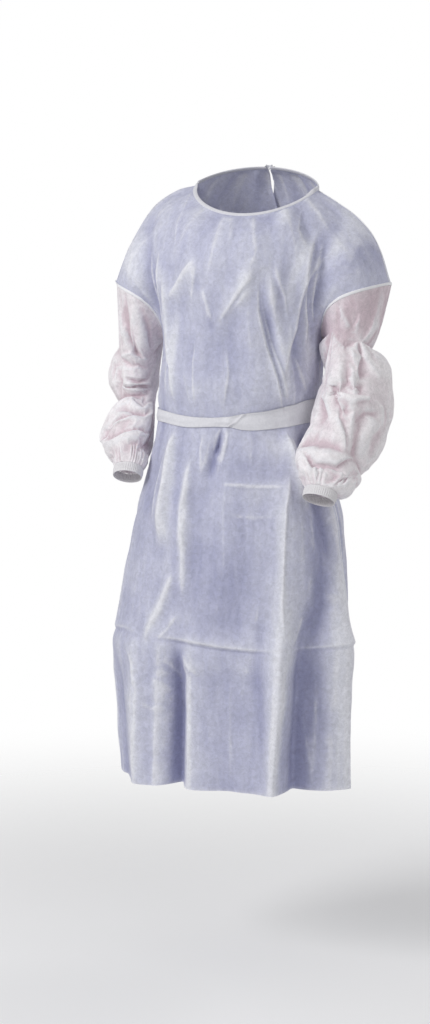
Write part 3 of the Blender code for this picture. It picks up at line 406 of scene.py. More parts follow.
# The same for the sleeves, where the second number of a point is its place down the arm in thousandths.
# An angle of 0 is the outer side, 90 the front, 180 the inner side and 270 the back.
SLEEVE_CREASES = {
    1: (
        (-4.0, 8, 12, 0.7, 0.0, (118, 150), (90, 195), (65, 222), (40, 250)),
        (3.0, 10, 10, 0.7, 0.7, (108, 262), (72, 262), (50, 282), (25, 270)),
        (-4.0, 8, 9, 0.7, 0.0, (48, 262), (60, 322), (52, 385)),
        (3.2, 9, 12, 0.8, 0.8, (66, 300), (75, 360), (64, 430)),
        (-4.0, 9, 12, 0.7, 0.0, (130, 400), (92, 500), (60, 430)),
        (4.4, 8, 12, 0.8, 1.0, (118, 560), (92, 600), (68, 600), (44, 560), (44, 450)),
        (-4.2, 9, 9, 0.7, 0.0, (112, 620), (90, 640), (60, 650)),
        (3.6, 9, 10, 0.8, 0.9, (138, 540), (138, 589), (108, 680), (112, 740)),
        (3.6, 12, 9, 0.8, 0.8, (106, 690), (80, 711), (57, 744), (40, 822)),
        (-3.6, 9, 9, 0.6, 0.0, (68, 622), (48, 667), (15, 560)),
        (-3.4, 9, 9, 0.6, 0.0, (38, 656), (28, 711), (4, 767)),
        (3.0, 10, 10, 0.8, 0.6, (22, 480), (8, 600), (14, 700)),
        (-4.4, 8, 8, 0.8, 0.0, (140, 840), (102, 885), (57, 890), (0, 785)),
        (3.2, 8, 8, 0.7, 0.8, (146, 930), (110, 926), (55, 920), (8, 925)),
        (2.4, 9, 9, 0.6, 0.5, (96, 20), (92, 90), (70, 150)),
        (-2.6, 10, 10, 0.5, 0.0, (74, 30), (66, 100), (76, 150)),
        (3.0, 10, 10, 0.7, 0.6, (300, 180), (330, 250), (360, 240)),
        (-3.6, 9, 10, 0.7, 0.0, (210, 260), (250, 290), (310, 270)),
        (3.4, 9, 10, 0.8, 0.7, (214, 340), (262, 380), (320, 350)),
        (-3.6, 9, 9, 0.7, 0.0, (224, 440), (270, 480), (318, 430)),
        (3.6, 9, 10, 0.8, 0.7, (230, 560), (280, 560), (330, 620)),
        (-3.4, 9, 9, 0.7, 0.0, (200, 650), (250, 690), (300, 660)),
        (3.2, 9, 9, 0.7, 0.6, (190, 740), (240, 770), (330, 740)),
        (-3.6, 8, 8, 0.7, 0.0, (180, 840), (240, 860), (320, 840)),
        (3.2, 10, 9, 0.7, 0.6, (158, 300), (186, 360), (176, 450)),
        (-3.2, 9, 9, 0.6, 0.0, (170, 480), (196, 540), (178, 620)),
    ),
    -1: (
        (3.0, 9, 10, 0.8, 0.8, (72, 5), (96, 44), (128, 80), (150, 130)),
        (-3.0, 9, 9, 0.6, 0.0, (90, 80), (104, 122), (100, 200)),
        (2.6, 9, 9, 0.7, 0.6, (44, 150), (80, 120), (108, 110)),
        (3.4, 9, 12, 0.8, 0.8, (40, 300), (66, 240), (90, 189), (145, 222)),
        (-3.6, 9, 9, 0.7, 0.0, (30, 340), (70, 300), (110, 262), (150, 290)),
        (3.6, 9, 10, 0.8, 0.8, (60, 385), (90, 415), (120, 444), (160, 433)),
        (-3.6, 8, 9, 0.7, 0.0, (66, 440), (100, 480), (150, 480)),
        (2.6, 8, 8, 0.7, 0.6, (48, 520), (90, 530), (140, 540)),
        (-4.0, 8, 9, 0.8, 0.0, (40, 575), (90, 585), (150, 565)),
        (3.6, 9, 10, 0.8, 0.8, (78, 640), (100, 644), (128, 689), (168, 600)),
        (-3.2, 8, 8, 0.7, 0.0, (60, 672), (108, 720), (150, 720)),
        (2.8, 9, 9, 0.7, 0.6, (40, 760), (80, 780), (130, 770)),
        (-3.8, 8, 8, 0.8, 0.0, (50, 850), (100, 838), (148, 811), (184, 756)),
        (3.2, 8, 8, 0.8, 0.8, (30, 875), (65, 892), (148, 880)),
        (3.0, 9, 10, 0.7, 0.6, (200, 200), (250, 240), (320, 220)),
        (-3.4, 9, 9, 0.7, 0.0, (190, 300), (250, 330), (330, 300)),
        (3.2, 9, 10, 0.8, 0.6, (200, 390), (256, 430), (320, 400)),
        (-3.4, 9, 9, 0.7, 0.0, (196, 500), (260, 520), (330, 560)),
        (3.2, 9, 9, 0.7, 0.6, (190, 640), (250, 660), (320, 630)),
        (-3.2, 8, 9, 0.7, 0.0, (200, 760), (260, 790), (330, 770)),
        (2.4, 10, 10, 0.6, 0.5, (320, 20), (310, 90), (330, 160)),
        (-2.4, 10, 10, 0.5, 0.0, (230, 40), (250, 110), (240, 180)),
    ),
}

# Painted light and shade on the body's cloth, with some tint of what shows through it: where it is painted
# paler, or deeper in colour (below 0).
# Columns: angle, z in mm, reach across and up in mm, lean in degrees towards the larger angle as it goes
# down, and how much
PAINTED_LIGHT_AND_TINT_SPOTS = (
    (-76, -110, 30, 60, 0, 0.55),
    (-63, -110, 9, 60, 0, 0.50),
    (-55, -150, 10, 50, 0, -0.30),
    (-20, -40, 16, 40, 10, 0.25),
    (0, -50, 70, 45, 0, -0.15),
    (24, -70, 18, 50, -10, 0.20),
    (54, -130, 15, 75, -14, 0.75),
    (60, -94, 9, 28, 0, -0.45),
    (67, -90, 9, 55, 14, 0.60),
    (80, -120, 20, 45, 0, -0.75),
    (90, -70, 12, 40, 0, 0.50),
    (-42, -280, 11, 85, -4, 0.75),
    (-22, -180, 26, 45, -20, 0.30),
    (-12, -215, 9, 45, 22, -0.45),
    (2, -290, 55, 32, 0, -0.35),
    (17, -180, 18, 40, -38, 0.50),
    (36, -230, 9, 65, 20, -0.35),
    (30, -160, 22, 60, 0, 0.30),
    (40, -300, 26, 60, 0, 0.25),
    (58, -300, 14, 50, 10, -0.45),
    (70, -200, 14, 120, 0, 1.00),
    (46, -440, 26, 24, 0, 0.45),
    (-56, -400, 14, 60, 0, -0.60),
    (52, -290, 7, 60, 0, 0.60),
    (-18, -350, 45, 25, 0, 0.25),
    (20, -370, 45, 16, 0, 0.20),
    (-36, -540, 13, 95, 8, 0.70),
    (-58, -560, 26, 90, 0, -0.55),
    (-22, -580, 9, 50, 0, 0.40),
    (18, -490, 55, 40, 0, -0.35),
    (24, -530, 60, 12, 0, 0.22),
    (10, -680, 65, 90, 0, -0.60),
    (46, -660, 9, 110, 0, 0.45),
    (68, -630, 28, 110, 0, -0.95),
    (90, -700, 16, 80, 0, 0.30),
    (-36, -745, 28, 26, -50, 0.45),
    (-8, -790, 75, 9, 0, 0.35),
    (12, -930, 26, 90, 0, -0.05),
    (35, -930, 11, 110, 0, -0.85),
    (40, -930, 8, 110, -3, -0.50),
    (52, -930, 14, 110, 0, 0.45),
    (66, -900, 12, 90, 0, -0.45),
    (-23, -930, 13, 100, 0, 1.30),
    (-60, -770, 40, 60, 0, -0.30),
    (0, -800, 70, 40, 0, -0.30),
    (-62, -900, 10, 80, 0, 0.40),
    (60, -920, 26, 90, 0, -0.30),
    (82, -920, 12, 90, 0, 0.25),
    (150, -200, 40, 80, 20, 0.40),
    (-150, -220, 40, 80, -20, 0.35),
    (180, -100, 60, 60, 0, -0.30),
    (165, -330, 50, 30, 0, -0.30),
    (160, -520, 14, 90, -6, 0.50),
    (-160, -540, 14, 90, 6, 0.45),
    (180, -700, 50, 100, 0, -0.25),
    (130, -700, 20, 110, 0, 0.30),
    (-130, -720, 20, 110, 0, 0.30),
    (115, -930, 20, 100, 0, -0.30),
    (-115, -930, 20, 100, 0, -0.25),
    (165, -930, 20, 90, 0, 0.35),
    (-165, -930, 22, 90, 0, 0.30),
)

# The facets of the body's cloth: the turn of their edges from upright in degrees, and their strength
BODY_FACETS = ((6, 0.8), (-28, 0.6), (38, 0.5), (80, 0.25))

# How much deeper, narrower and wider the creases are than their tables say
CREASE_DEPTH = 1.5
CREASE_NARROW, CREASE_NARROWEST, CREASE_WIDE = 0.65, 5.0, 2.3

# The facets of the body's cloth, large and small, and its ridges: height and size in metres, and how
# much they are drawn out upwards. The sleeves have ridges that aren't drawn out.
LARGE_FACETS = (0.0034, 0.085, 2.2)
SMALL_FACETS = (0.0011, 0.034, 1.8)
RIDGES = (0.00012, 0.016, 1.3)
SLEEVE_RIDGES = (0.0012, 0.050)

# The flat sizes of the cut, and the share of each rectangle that the cloth fills
SLEEVE_CUT = {1: 0.60, -1: 0.54}

# The girth of a sleeve's rest shape down the arm, which is wider than the arm so that the cloth buckles
REST_PLACES, REST_GIRTHS, REST_EASE = (0, 0.15, 0.8, 1.0), (0, 0.50, 0.44, 0.40), 1.10
SETTLE_FRAMES, SETTLE_BEND, SETTLE_CAP = 30, 0.2, 0.016
CLOTH_WEIGHT, CLOTH_STIFFNESS, CLOTH_SHEAR = 0.12, 25.0, 12.0

# Turns the way along a tape in mm into one stitch each 2.5 mm
STITCH_TURN = 2.5133

# How much deeper in colour the top of each sleeve is painted just below the armhole seam: painted shade,
# with some tint of what shows through
SLEEVE_TOP_SHADE = {1: 1.3, -1: 0.2}

# Where the fine crumpling is stronger: angle, z and reach in mm, and how much more
CRUMPLED = (
    (10, -190, 70, 1.4),
    (22, -150, 40, 1.2),
    (-30, -160, 50, 0.8),
    (-34, -860, 70, 1.8),
    (-14, -835, 50, 1.2),
    (-36, -740, 50, 1.0),
    (-45, -300, 60, 0.6),
    (60, -330, 60, 0.5),
    (180, -400, 90, 1.2),
    (-160, -760, 60, 0.9),
    (120, -300, 60, 0.7),
)


def smooth_step(x):
    """0 below 0, 1 above 1, and a soft rise between."""
    x = np.clip(x, 0.0, 1.0)
    return x * x * (3 - 2 * x)


def unit(vectors):
    """The vectors at a length of 1."""
    return vectors / np.maximum(np.linalg.norm(vectors, axis=-1, keepdims=True), 1e-12)


def angle_apart(a, b):
    """The shorter turn from b to a, in degrees."""
    return (a - b + 180.0) % 360.0 - 180.0


class Noise:
    """Smooth noise in three dimensions, between about -1 and 1, the same on every run."""

    def __init__(self, seed):
        chance = np.random.default_rng(seed)
        self.order = chance.permutation(256)
        self.slopes = unit(chance.normal(size=(256, 3)))

    def __call__(self, points):
        cell = np.floor(points).astype(int)
        local = points - cell
        fade = local**3 * (local * (local * 6 - 15) + 10)
        total = np.zeros(points.shape[:-1])
        for corner in np.ndindex(2, 2, 2):
            at = (cell + corner) & 255
            index = self.order[(self.order[(self.order[at[..., 0]] + at[..., 1]) & 255] + at[..., 2]) & 255]
            dot = ((local - corner) * self.slopes[index]).sum(-1)
            total += dot * np.where(np.array(corner) == 1, fade, 1 - fade).prod(-1)
        return total * 1.7


WIDE_NOISE, FOLD_NOISE, FINE_NOISE = Noise(3), Noise(11), Noise(29)


def crumple(points, size, stretch=1.0):
    """Sharp little ridges with soft hollows between them, from -1 to 1, about one for each size."""
    at = points / (size * np.array([1.0, 1.0, stretch]))
    bent = at + 0.55 * np.stack([WIDE_NOISE(at * 0.7 + shift) for shift in (3.1, 17.7, 31.3)], -1)
    return 1 - 2 * np.abs(FOLD_NOISE(bent)) ** 0.8


def facets(points, size, stretch, ways):
    """Flat facets that meet at crisp edges, as in paper-like cloth, from about -1 to 1. ways are the
    turns of their edges from upright in degrees, and how strong each set of them is."""
    round_it = np.arctan2(points[..., 0], -points[..., 1]) * MEAN_RADIUS
    bend = 0.30 * size * np.stack([FOLD_NOISE(points / (2.2 * size) + shift) for shift in (2.2, 12.8)], -1)
    u, v = round_it + bend[..., 0], (points[..., 2] + bend[..., 1]) / stretch
    total = np.zeros(u.shape)
    for number, (degrees, strength) in enumerate(ways):
        turn = math.radians(degrees)
        wave = (u * math.cos(turn) + v * math.sin(turn)) / (size * (1 + 0.23 * number)) + 0.37 * number
        tent = 1 - 4 * np.abs(wave - np.floor(wave) - 0.5)
        here = smooth_step(0.5 + 0.9 * WIDE_NOISE(points / (1.5 * size) + 7.3 * number))
        total = total + strength * here * tent
    return total


def tone(spots, angle, z):
    """How much paler the cloth is painted at its place, as painted light and shade with some tint, from a
    table such as PAINTED_LIGHT_AND_TINT_SPOTS.
    """
    total = np.zeros(np.broadcast(angle, z).shape)
    for spot_angle, spot_z, across, up, lean, amount in spots:
        u = np.radians(angle_apart(angle, spot_angle)) * MEAN_RADIUS * 1000
        v = (z - spot_z / 1000) * 1000
        turn = math.radians(lean)
        side = (u * math.cos(turn) + v * math.sin(turn)) / across
        rise = (v * math.cos(turn) - u * math.sin(turn)) / up
        total = total + amount * np.exp(-(side**2) - rise**2)
    return total


def fold_height(folds, angle, along, radius, along_scale=1.0):
    """How far the large folds move the cloth out, at an angle round it and a place along it."""
    total = np.zeros(np.broadcast(angle, along).shape)
    for from_angle, from_place, to_angle, to_place, height, half_width in folds:
        turn = to_angle - from_angle
        across = math.radians(turn) * radius
        rise = (to_place - from_place) * along_scale
        length = math.hypot(across, rise)
        dx = np.radians(angle_apart(angle, from_angle + turn / 2)) * radius
        dz = (along - (from_place + to_place) / 2) * along_scale
        share = (dx * across + dz * rise) / length**2 + 0.5
        away = np.abs(dx * rise - dz * across) / length
        fade = smooth_step(4 * share) * smooth_step(4 * (1 - share))
        spread = np.sqrt((away / half_width) ** 2 + 0.02) - math.sqrt(0.02)
        total = total + height * fade * np.clip(1 - spread, 0.0, 1.0) ** 1.5
    return total


def crease_relief(creases, angle, along, radius, along_scale=1.0):
    """The height of the fine creases in metres, and how white their crests are painted as highlights, from 0
    to 1.
    """
    angle, along = np.broadcast_arrays(angle, along)
    height, white = np.zeros(angle.shape), np.zeros(angle.shape)
    for rise, left, right, sharp, whiteness, *points in creases:
        points = [(turn, place / 1000) for turn, place in points]
        best = np.full(angle.shape, np.inf)
        side, run = np.zeros(angle.shape), np.zeros(angle.shape)
        steps = [
            math.hypot(math.radians(angle_apart(b[0], a[0])) * radius, (b[1] - a[1]) * along_scale)
            for a, b in zip(points, points[1:])
        ]
        total, done = sum(steps), 0.0
        for (a, b), length in zip(zip(points, points[1:]), steps):
            du = math.radians(angle_apart(b[0], a[0])) * radius / length
            dv = (b[1] - a[1]) * along_scale / length
            u = np.radians(angle_apart(angle, a[0])) * radius
            v = (along - a[1]) * along_scale
            place = np.clip(u * du + v * dv, 0.0, length)
            away = np.hypot(u - place * du, v - place * dv)
            near = away < best
            best = np.where(near, away, best)
            side = np.where(near, du * v - dv * u, side)
            run = np.where(near, (done + place) / total, run)
            done += length
        narrow = max(CREASE_NARROW * min(left, right), CREASE_NARROWEST)
        wide = CREASE_WIDE * max(left, right)
        left_reach, right_reach = (narrow, wide) if left < right else (wide, narrow)
        reach = np.where(side > 0, right_reach, left_reach) * 0.001
        fade = smooth_step(run * 3.2) * smooth_step((1 - run) * 3.2)
        soft = np.exp(-((best / (0.55 * reach)) ** 2))
        tent = np.clip(1 - best / (1.15 * reach), 0, 1) ** 1.25
        crisp = 0.45 + 0.55 * sharp
        height = height + rise * CREASE_DEPTH * 0.001 * fade * (crisp * tent + (1 - crisp) * soft)
        # Painted highlight: a thin white line along each crest, with a softer spread over the crease
        line = np.exp(-((best / 0.0020) ** 2))
        white = np.maximum(white, whiteness * fade * (0.75 * line + 0.25 * tent))
    return height, white


def body_section(angle, z):
    """A point of the body's plain outline below the underarm."""
    across, along = np.sin(np.radians(angle)), np.cos(np.radians(angle))
    depth = np.where(along > 0, BODY.read("front", z), BODY.read("back", z))
    power = BODY.read("squareness", z)
    reach = np.abs(across / BODY.read("half_width", z)) ** power + np.abs(along / depth) ** power
    radius = reach ** (-1 / power)
    x = BODY.read("centre_x", z) + radius * across
    y = BODY.read("centre_y", z) - radius * along
    return np.stack(np.broadcast_arrays(x, y, z), -1)


def top_edge(side, share):
    """The top of the front (side -1) or back (side 1): the neck edge, then a shoulder seam."""
    turn = np.radians(90 * np.clip(share / NECK_SHARE, -1, 1))
    depth, rise = (NECK_BACK, NECK_BACK_RISE) if side > 0 else (NECK_FRONT, NECK_FRONT_DROP)
    x = NECK_HALF_WIDTH * np.sin(turn)
    level = np.abs(np.cos(turn))
    edge = np.stack([x, side * depth * level, rise * level**1.3 + NECK_TILT * x], -1)
    out = (np.abs(share) - NECK_SHARE) / (1 - NECK_SHARE)
    for hand, seam in SHOULDERS.items():
        edge = np.where((share * hand > NECK_SHARE)[..., None], seam.point(out), edge)
    return edge


def armhole(hand, side, share):
    """The armhole seam of one hand, up its front or back, from the underarm to the shoulder seam."""
    top = SHOULDERS[hand].point(np.array(1.0))
    low = body_section(np.array(90.0 * hand), np.array(UNDERARM_Z))
    turn = math.pi * (1 - share)[..., None]
    depth = ARMHOLE_BACK if side > 0 else ARMHOLE_FRONT
    bow = np.array([0.0, side * depth, 0.0]) * np.sin(turn)
    rise = np.array([0.0, 0.0, ARMHOLE_RISE]) * np.sin(math.pi * share[..., None] ** 0.6) ** 2
    return (top + low) / 2 + (top - low) / 2 * np.cos(turn) + bow + rise


def side_angle(side, share):
    """The angle round the body at a share of the front (side -1) or back (side 1)."""
    return 90.0 * share if side < 0 else 180.0 - 90.0 * share


def plain_surface(side, share, up):
    """The body's plain surface on the front (side -1) or back (side 1). share is -1 to 1 from one side
    seam to the other. up is 0 at the hem, 1 at the underarm and 2 at the top."""
    share, up = np.broadcast_arrays(share, up)
    angle = side_angle(side, share)
    skirt = body_section(angle, HEM_Z + (UNDERARM_Z - HEM_Z) * np.clip(up, 0, 1))
    t = np.clip(up - 1, 0, 1)[..., None]
    reach = 0.20 * (1 - t[..., 0]) ** 0.6 * (1 - np.abs(share) ** 6)
    steps = ((-1.0, 0.1), (-0.6, 0.2), (-0.2, 0.2), (0.2, 0.2), (0.6, 0.2), (1.0, 0.1))
    top = sum(weight * top_edge(side, np.clip(share + step * reach, -1, 1)) for step, weight in steps)
    chest = skirt + (top - skirt) * t
    shares = np.concatenate([t, 1 - np.cos(t * math.pi / 2), np.sin(t * math.pi / 2)], -1)
    rounded = skirt + (top - skirt) * shares
    inner = 1 - np.abs(share)[..., None] ** 4
    chest = chest + ROUNDNESS * inner * (rounded - chest)
    fullness = BACK_FULLNESS if side > 0 else CHEST_FULLNESS
    chest[..., 1] += (side * fullness * np.sin(t * math.pi).clip(0) ** 1.2 * inner)[..., 0]
    for hand in (1, -1):
        seam = armhole(hand, side, t[..., 0])
        low, high = armhole(hand, side, np.array(0.0)), armhole(hand, side, np.array(1.0))
        weight = np.clip(share * hand, 0, 1)[..., None] ** 2.5
        chest = chest + weight * (seam - low - (high - low) * t)
    return np.where(t > 0, chest, skirt)


def even_surface(side, share, up):
    """The body's plain surface, with the bend at the underarm's level evened out."""
    share, up = np.broadcast_arrays(share, up)
    skirt, chest = UNDERARM_Z - HEM_Z, -UNDERARM_Z
    height = np.where(up < 1, (up - 1) * skirt, (up - 1) * chest)
    reach = 0.050 * np.exp(-((height / 0.070) ** 2)) * (1 - np.abs(share) ** 10)
    total = np.zeros(share.shape + (3,))
    for step, weight in ((-1.0, 0.12), (-0.5, 0.23), (0.0, 0.30), (0.5, 0.23), (1.0, 0.12)):
        place = height + step * reach
        total += weight * plain_surface(side, share, 1 + place / np.where(place < 0, skirt, chest))
    return total


def plain_normals(side, share, up, step=0.004):
    """Outward normals of the body's plain surface."""
    ahead, behind = np.clip(share + step, -1, 1), np.clip(share - step, -1, 1)
    above, below = np.clip(up + step, 0, 2), np.clip(up - step, 0, 2)
    round_it = plain_surface(side, ahead, up) - plain_surface(side, behind, up)
    rise = plain_surface(side, share, above) - plain_surface(side, share, below)
    return unit(np.cross(round_it, rise) * (-side if side > 0 else 1))


def back_overlap_share(up):
    """How far each back runs past the centre back, as a share of a half back."""
    width = (BACK_OVERLAP + BACK_EDGES_APART) * smooth_step((1.88 - up) / 0.88) - BACK_EDGES_APART
    return width / 2 / (math.pi / 2 * MEAN_RADIUS)


def back_lift(share, up):
    """How far the left back is lifted: fully over the overlap, less beyond it, and not at the neck."""
    covered = smooth_step((back_overlap_share(up) + 0.30 - share) / 0.22)
    return BACK_LIFT * covered * smooth_step((2 - up) / 0.11)


def dress(side, share, up, lifted=False):
    """The body's cloth with its folds and creases: its points, the normals of the form under them, how pale
    it is painted, and how white its crests are painted as highlights. The paleness is painted light and
    shade from the large folds, with the painted light, shade and tint of PAINTED_LIGHT_AND_TINT_SPOTS."""
    share, up = np.broadcast_arrays(share, up)
    plain = even_surface(side, share, up)
    if min(plain.shape[:-1]) > 60:
        normals = grid_normals(plain, False)
        middle = tuple(size // 2 for size in share.shape)
        if normals[middle] @ plain_normals(side, share[middle], up[middle]) < 0:
            normals = -normals
    else:
        normals = plain_normals(side, share, up)
    angle, z = side_angle(side, share), plain[..., 2]
    pressed = 1 - 0.85 * np.exp(-(((z - WAIST_Z) / 0.035) ** 4))
    large = fold_height(BODY_FOLDS, angle, z, MEAN_RADIUS) * pressed * smooth_step((2 - up) / 0.3)
    fine, white = crease_relief(CREASES, angle, z, MEAN_RADIUS)
    more = 1.0
    for spot_angle, spot_z, reach, extra in CRUMPLED:
        away = np.hypot(np.radians(angle_apart(angle, spot_angle)) * MEAN_RADIUS, z - spot_z / 1000)
        more = more + extra * np.exp(-((away / (reach * 0.001)) ** 2))
    rough = LARGE_FACETS[0] * facets(plain, *LARGE_FACETS[1:], BODY_FACETS)
    rough = rough + SMALL_FACETS[0] * more * facets(plain + 3.0, *SMALL_FACETS[1:], BODY_FACETS)
    rough = rough + RIDGES[0] * more * crumple(plain + 9.0, *RIDGES[1:])
    quiet = smooth_step((2 - up) / 0.10) * (1 - 0.55 * np.exp(-(((z - WAIST_Z) / 0.022) ** 4)))
    fine = (fine + rough) * quiet
    out = large + fine
    if lifted:
        out = out + back_lift(share, up)
    # Painted light and shade: the large folds are painted paler where they rise and deeper in colour where
    # they sink
    return plain + normals * out[..., None], normals, 30 * large + tone(PAINTED_LIGHT_AND_TINT_SPOTS, angle, z), np.clip(white, 0, 1)


def spread(count, low, high, *dense):
    """Places from low to high, closer together round each of the dense ones: (centre, width, how much)."""
    fine = np.linspace(low, high, 4001)
    weight = 1 + sum(k * np.exp(-(((fine - centre) / width) ** 2)) for centre, width, k in dense)
    done = np.concatenate([[0], np.cumsum((weight[1:] + weight[:-1]) / 2)])
    return np.interp(np.linspace(0, done[-1], count + 1), done, fine)


def blurred(grid, passes, closed):
    """The grid evened out over its neighbours."""
    for _ in range(passes):
        edge = np.concatenate([grid[:1], grid, grid[-1:]])
        grid = (edge[:-2] + 2 * edge[1:-1] + edge[2:]) / 4
        if closed:
            grid = (np.roll(grid, 1, 1) + 2 * grid + np.roll(grid, -1, 1)) / 4
        else:
            edge = np.concatenate([grid[:, :1], grid, grid[:, -1:]], 1)
            grid = (edge[:, :-2] + 2 * edge[:, 1:-1] + edge[:, 2:]) / 4
    return grid


def grid_normals(grid, closed):
    """Normals of a grid, outward where its columns go round towards larger angles and its rows go up."""
    round_it = np.roll(grid, -1, axis=1) - np.roll(grid, 1, axis=1) if closed else np.gradient(grid, axis=1)
    return unit(np.cross(round_it, np.gradient(grid, axis=0)))


def stands_proud(grid, closed, passes, normals):
    """How far each point stands out from the cloth around it."""
    return ((grid - blurred(grid, passes, closed)) * normals).sum(-1)


def finer(grid, closed):
    """The grid with a point on a smooth curve between every two, along both of its directions."""
    for axis in (0, 1):
        line = np.moveaxis(grid, axis, 0)
        if axis == 1 and closed:
            more = np.concatenate([line[-1:], line, line[:2]])
        else:
            more = np.concatenate([2 * line[:1] - line[1:2], line, 2 * line[-1:] - line[-2:-1]])
        middle = (9 * (more[1:-2] + more[2:-1]) - more[:-3] - more[3:]) / 16
        count = len(line) + len(middle)
        made = np.empty((count,) + line.shape[1:])
        made[0::2], made[1::2] = line, middle
        grid = np.moveaxis(made, 0, axis)
    return grid


def quads(index):
    """The faces between the numbers of a grid's points."""
    return np.stack([index[:-1, :-1], index[:-1, 1:], index[1:, 1:], index[1:, :-1]], -1).reshape(-1, 4)


def add_object(name, data, place=(0.0, 0.0, 0.0), aim=None):
    """An object in the scene at its place, facing along aim where that is given."""
    made = bpy.data.objects.new(name, data)
    made.location = place
    if aim is not None:
        made.rotation_euler = aim.to_track_quat("-Z", "Y").to_euler()
    bpy.context.scene.collection.objects.link(made)
    return made


def settle(grid, rest, hold):
    """A tube of cloth that starts as one grid and whose own flat sizes are those of another. It buckles
    into folds, held to its place by hold, from 0 to 1 at each point, and moves no farther than a cap."""
    rows, columns = grid.shape[:2]
    index = np.arange(rows * columns).reshape(rows, columns)
    wrapped = np.concatenate([index, index[:, :1]], 1)
    mesh = bpy.data.meshes.new("settling")
    mesh.from_pydata(grid.reshape(-1, 3).tolist(), [], quads(wrapped).tolist())
    cloth = add_object("settling", mesh)
    cloth.shape_key_add(name="start")
    cut = cloth.shape_key_add(name="cut")
    cut.data.foreach_set("co", rest.reshape(-1).astype(np.float32))
    held = cloth.vertex_groups.new(name="held")
    levels = np.round(np.broadcast_to(hold, (rows, columns)).reshape(-1) * 40) / 40
    for level in np.unique(levels):
        held.add(np.nonzero(levels == level)[0].tolist(), float(level), "REPLACE")
    change = cloth.modifiers.new("cloth", "CLOTH")
    settings = change.settings
    settings.quality = 6
    settings.mass = CLOTH_WEIGHT
    settings.tension_stiffness = settings.compression_stiffness = CLOTH_STIFFNESS
    settings.shear_stiffness = CLOTH_SHEAR
    settings.bending_stiffness = SETTLE_BEND
    settings.bending_damping = 0.5
    settings.air_damping = 2.0
    settings.vertex_group_mass = "held"
    settings.pin_stiffness = 1.0
    settings.rest_shape_key = cut
    settings.effector_weights.gravity = 0.3
    change.collision_settings.use_collision = False
    change.point_cache.frame_start, change.point_cache.frame_end = 1, SETTLE_FRAMES
    for frame_number in range(1, SETTLE_FRAMES + 1):
        bpy.context.scene.frame_set(frame_number)
    view = bpy.context.evaluated_depsgraph_get()
    moved = np.empty(rows * columns * 3, np.float32)
    cloth.evaluated_get(view).data.vertices.foreach_get("co", moved)
    bpy.data.objects.remove(cloth, do_unlink=True)
    bpy.context.scene.frame_set(1)
    step = moved.reshape(grid.shape).astype(float) - grid
    far = np.linalg.norm(step, axis=-1, keepdims=True)
    return grid + step * np.minimum(1, SETTLE_CAP / np.maximum(far, 1e-9))


# Materials


def new_material(name):
    """A material with no nodes in it yet, and its nodes."""
    made = bpy.data.materials.new(name)
    made.use_nodes = True
    made.node_tree.nodes.clear()
    return made, made.node_tree.nodes


def add_node(nodes, kind, inputs=None, **settings):
    """A shader node with its settings. Each input is a value, or the output that it is linked to."""
    node = nodes.new(kind)
    for key, value in settings.items():
        setattr(node, key, value)
    for key, value in (inputs or {}).items():
        if isinstance(value, bpy.types.NodeSocket):
            node.id_data.links.new(value, node.inputs[key])
        else:
            node.inputs[key].default_value = value
    return node


def noise(nodes, vector, scale, detail, roughness=0.5, distortion=0.0):
    """Noise at a place, with about as many lumps a metre as its scale says."""
    names = ("Vector", "Scale", "Detail", "Roughness", "Distortion")
    values = dict(zip(names, (vector, scale, detail, roughness, distortion)))
    return add_node(nodes, "ShaderNodeTexNoise", values).outputs["Fac"]


def maths(nodes, operation, *values, clamp=False):
    """The result of a sum with one, two or three values."""
    node = add_node(nodes, "ShaderNodeMath", dict(enumerate(values)), operation=operation, use_clamp=clamp)
    return node.outputs[0]


def ranged(nodes, value, from_low, from_high, to_low=0.0, to_high=1.0, **settings):
    """The value moved from one range to another, and kept in it."""
    names = ("Value", "From Min", "From Max", "To Min", "To Max")
    values = dict(zip(names, (value, from_low, from_high, to_low, to_high)))
    return add_node(nodes, "ShaderNodeMapRange", values, **settings).outputs["Result"]


def ramp(nodes, share, low, high, middle=None):
    """A colour between low and high, with a third one near the middle where one is given."""
    node = add_node(nodes, "ShaderNodeValToRGB", {"Fac": share})
    stops = node.color_ramp.elements
    stops[0].color, stops[1].color = (*low, 1), (*high, 1)
    if middle:
        stops.new(0.48).color = (*middle, 1)
    return node.outputs["Color"]


def attribute(nodes, name):
    """A value that a piece carries on its points."""
    return add_node(nodes, "ShaderNodeAttribute", attribute_name=name).outputs["Fac"]


def relief_normal(nodes, height, strength):
    """The normals of a fine relief."""
    values = {"Height": height, "Strength": strength, "Distance": 0.0006}
    return add_node(nodes, "ShaderNodeBump", values).outputs["Normal"]


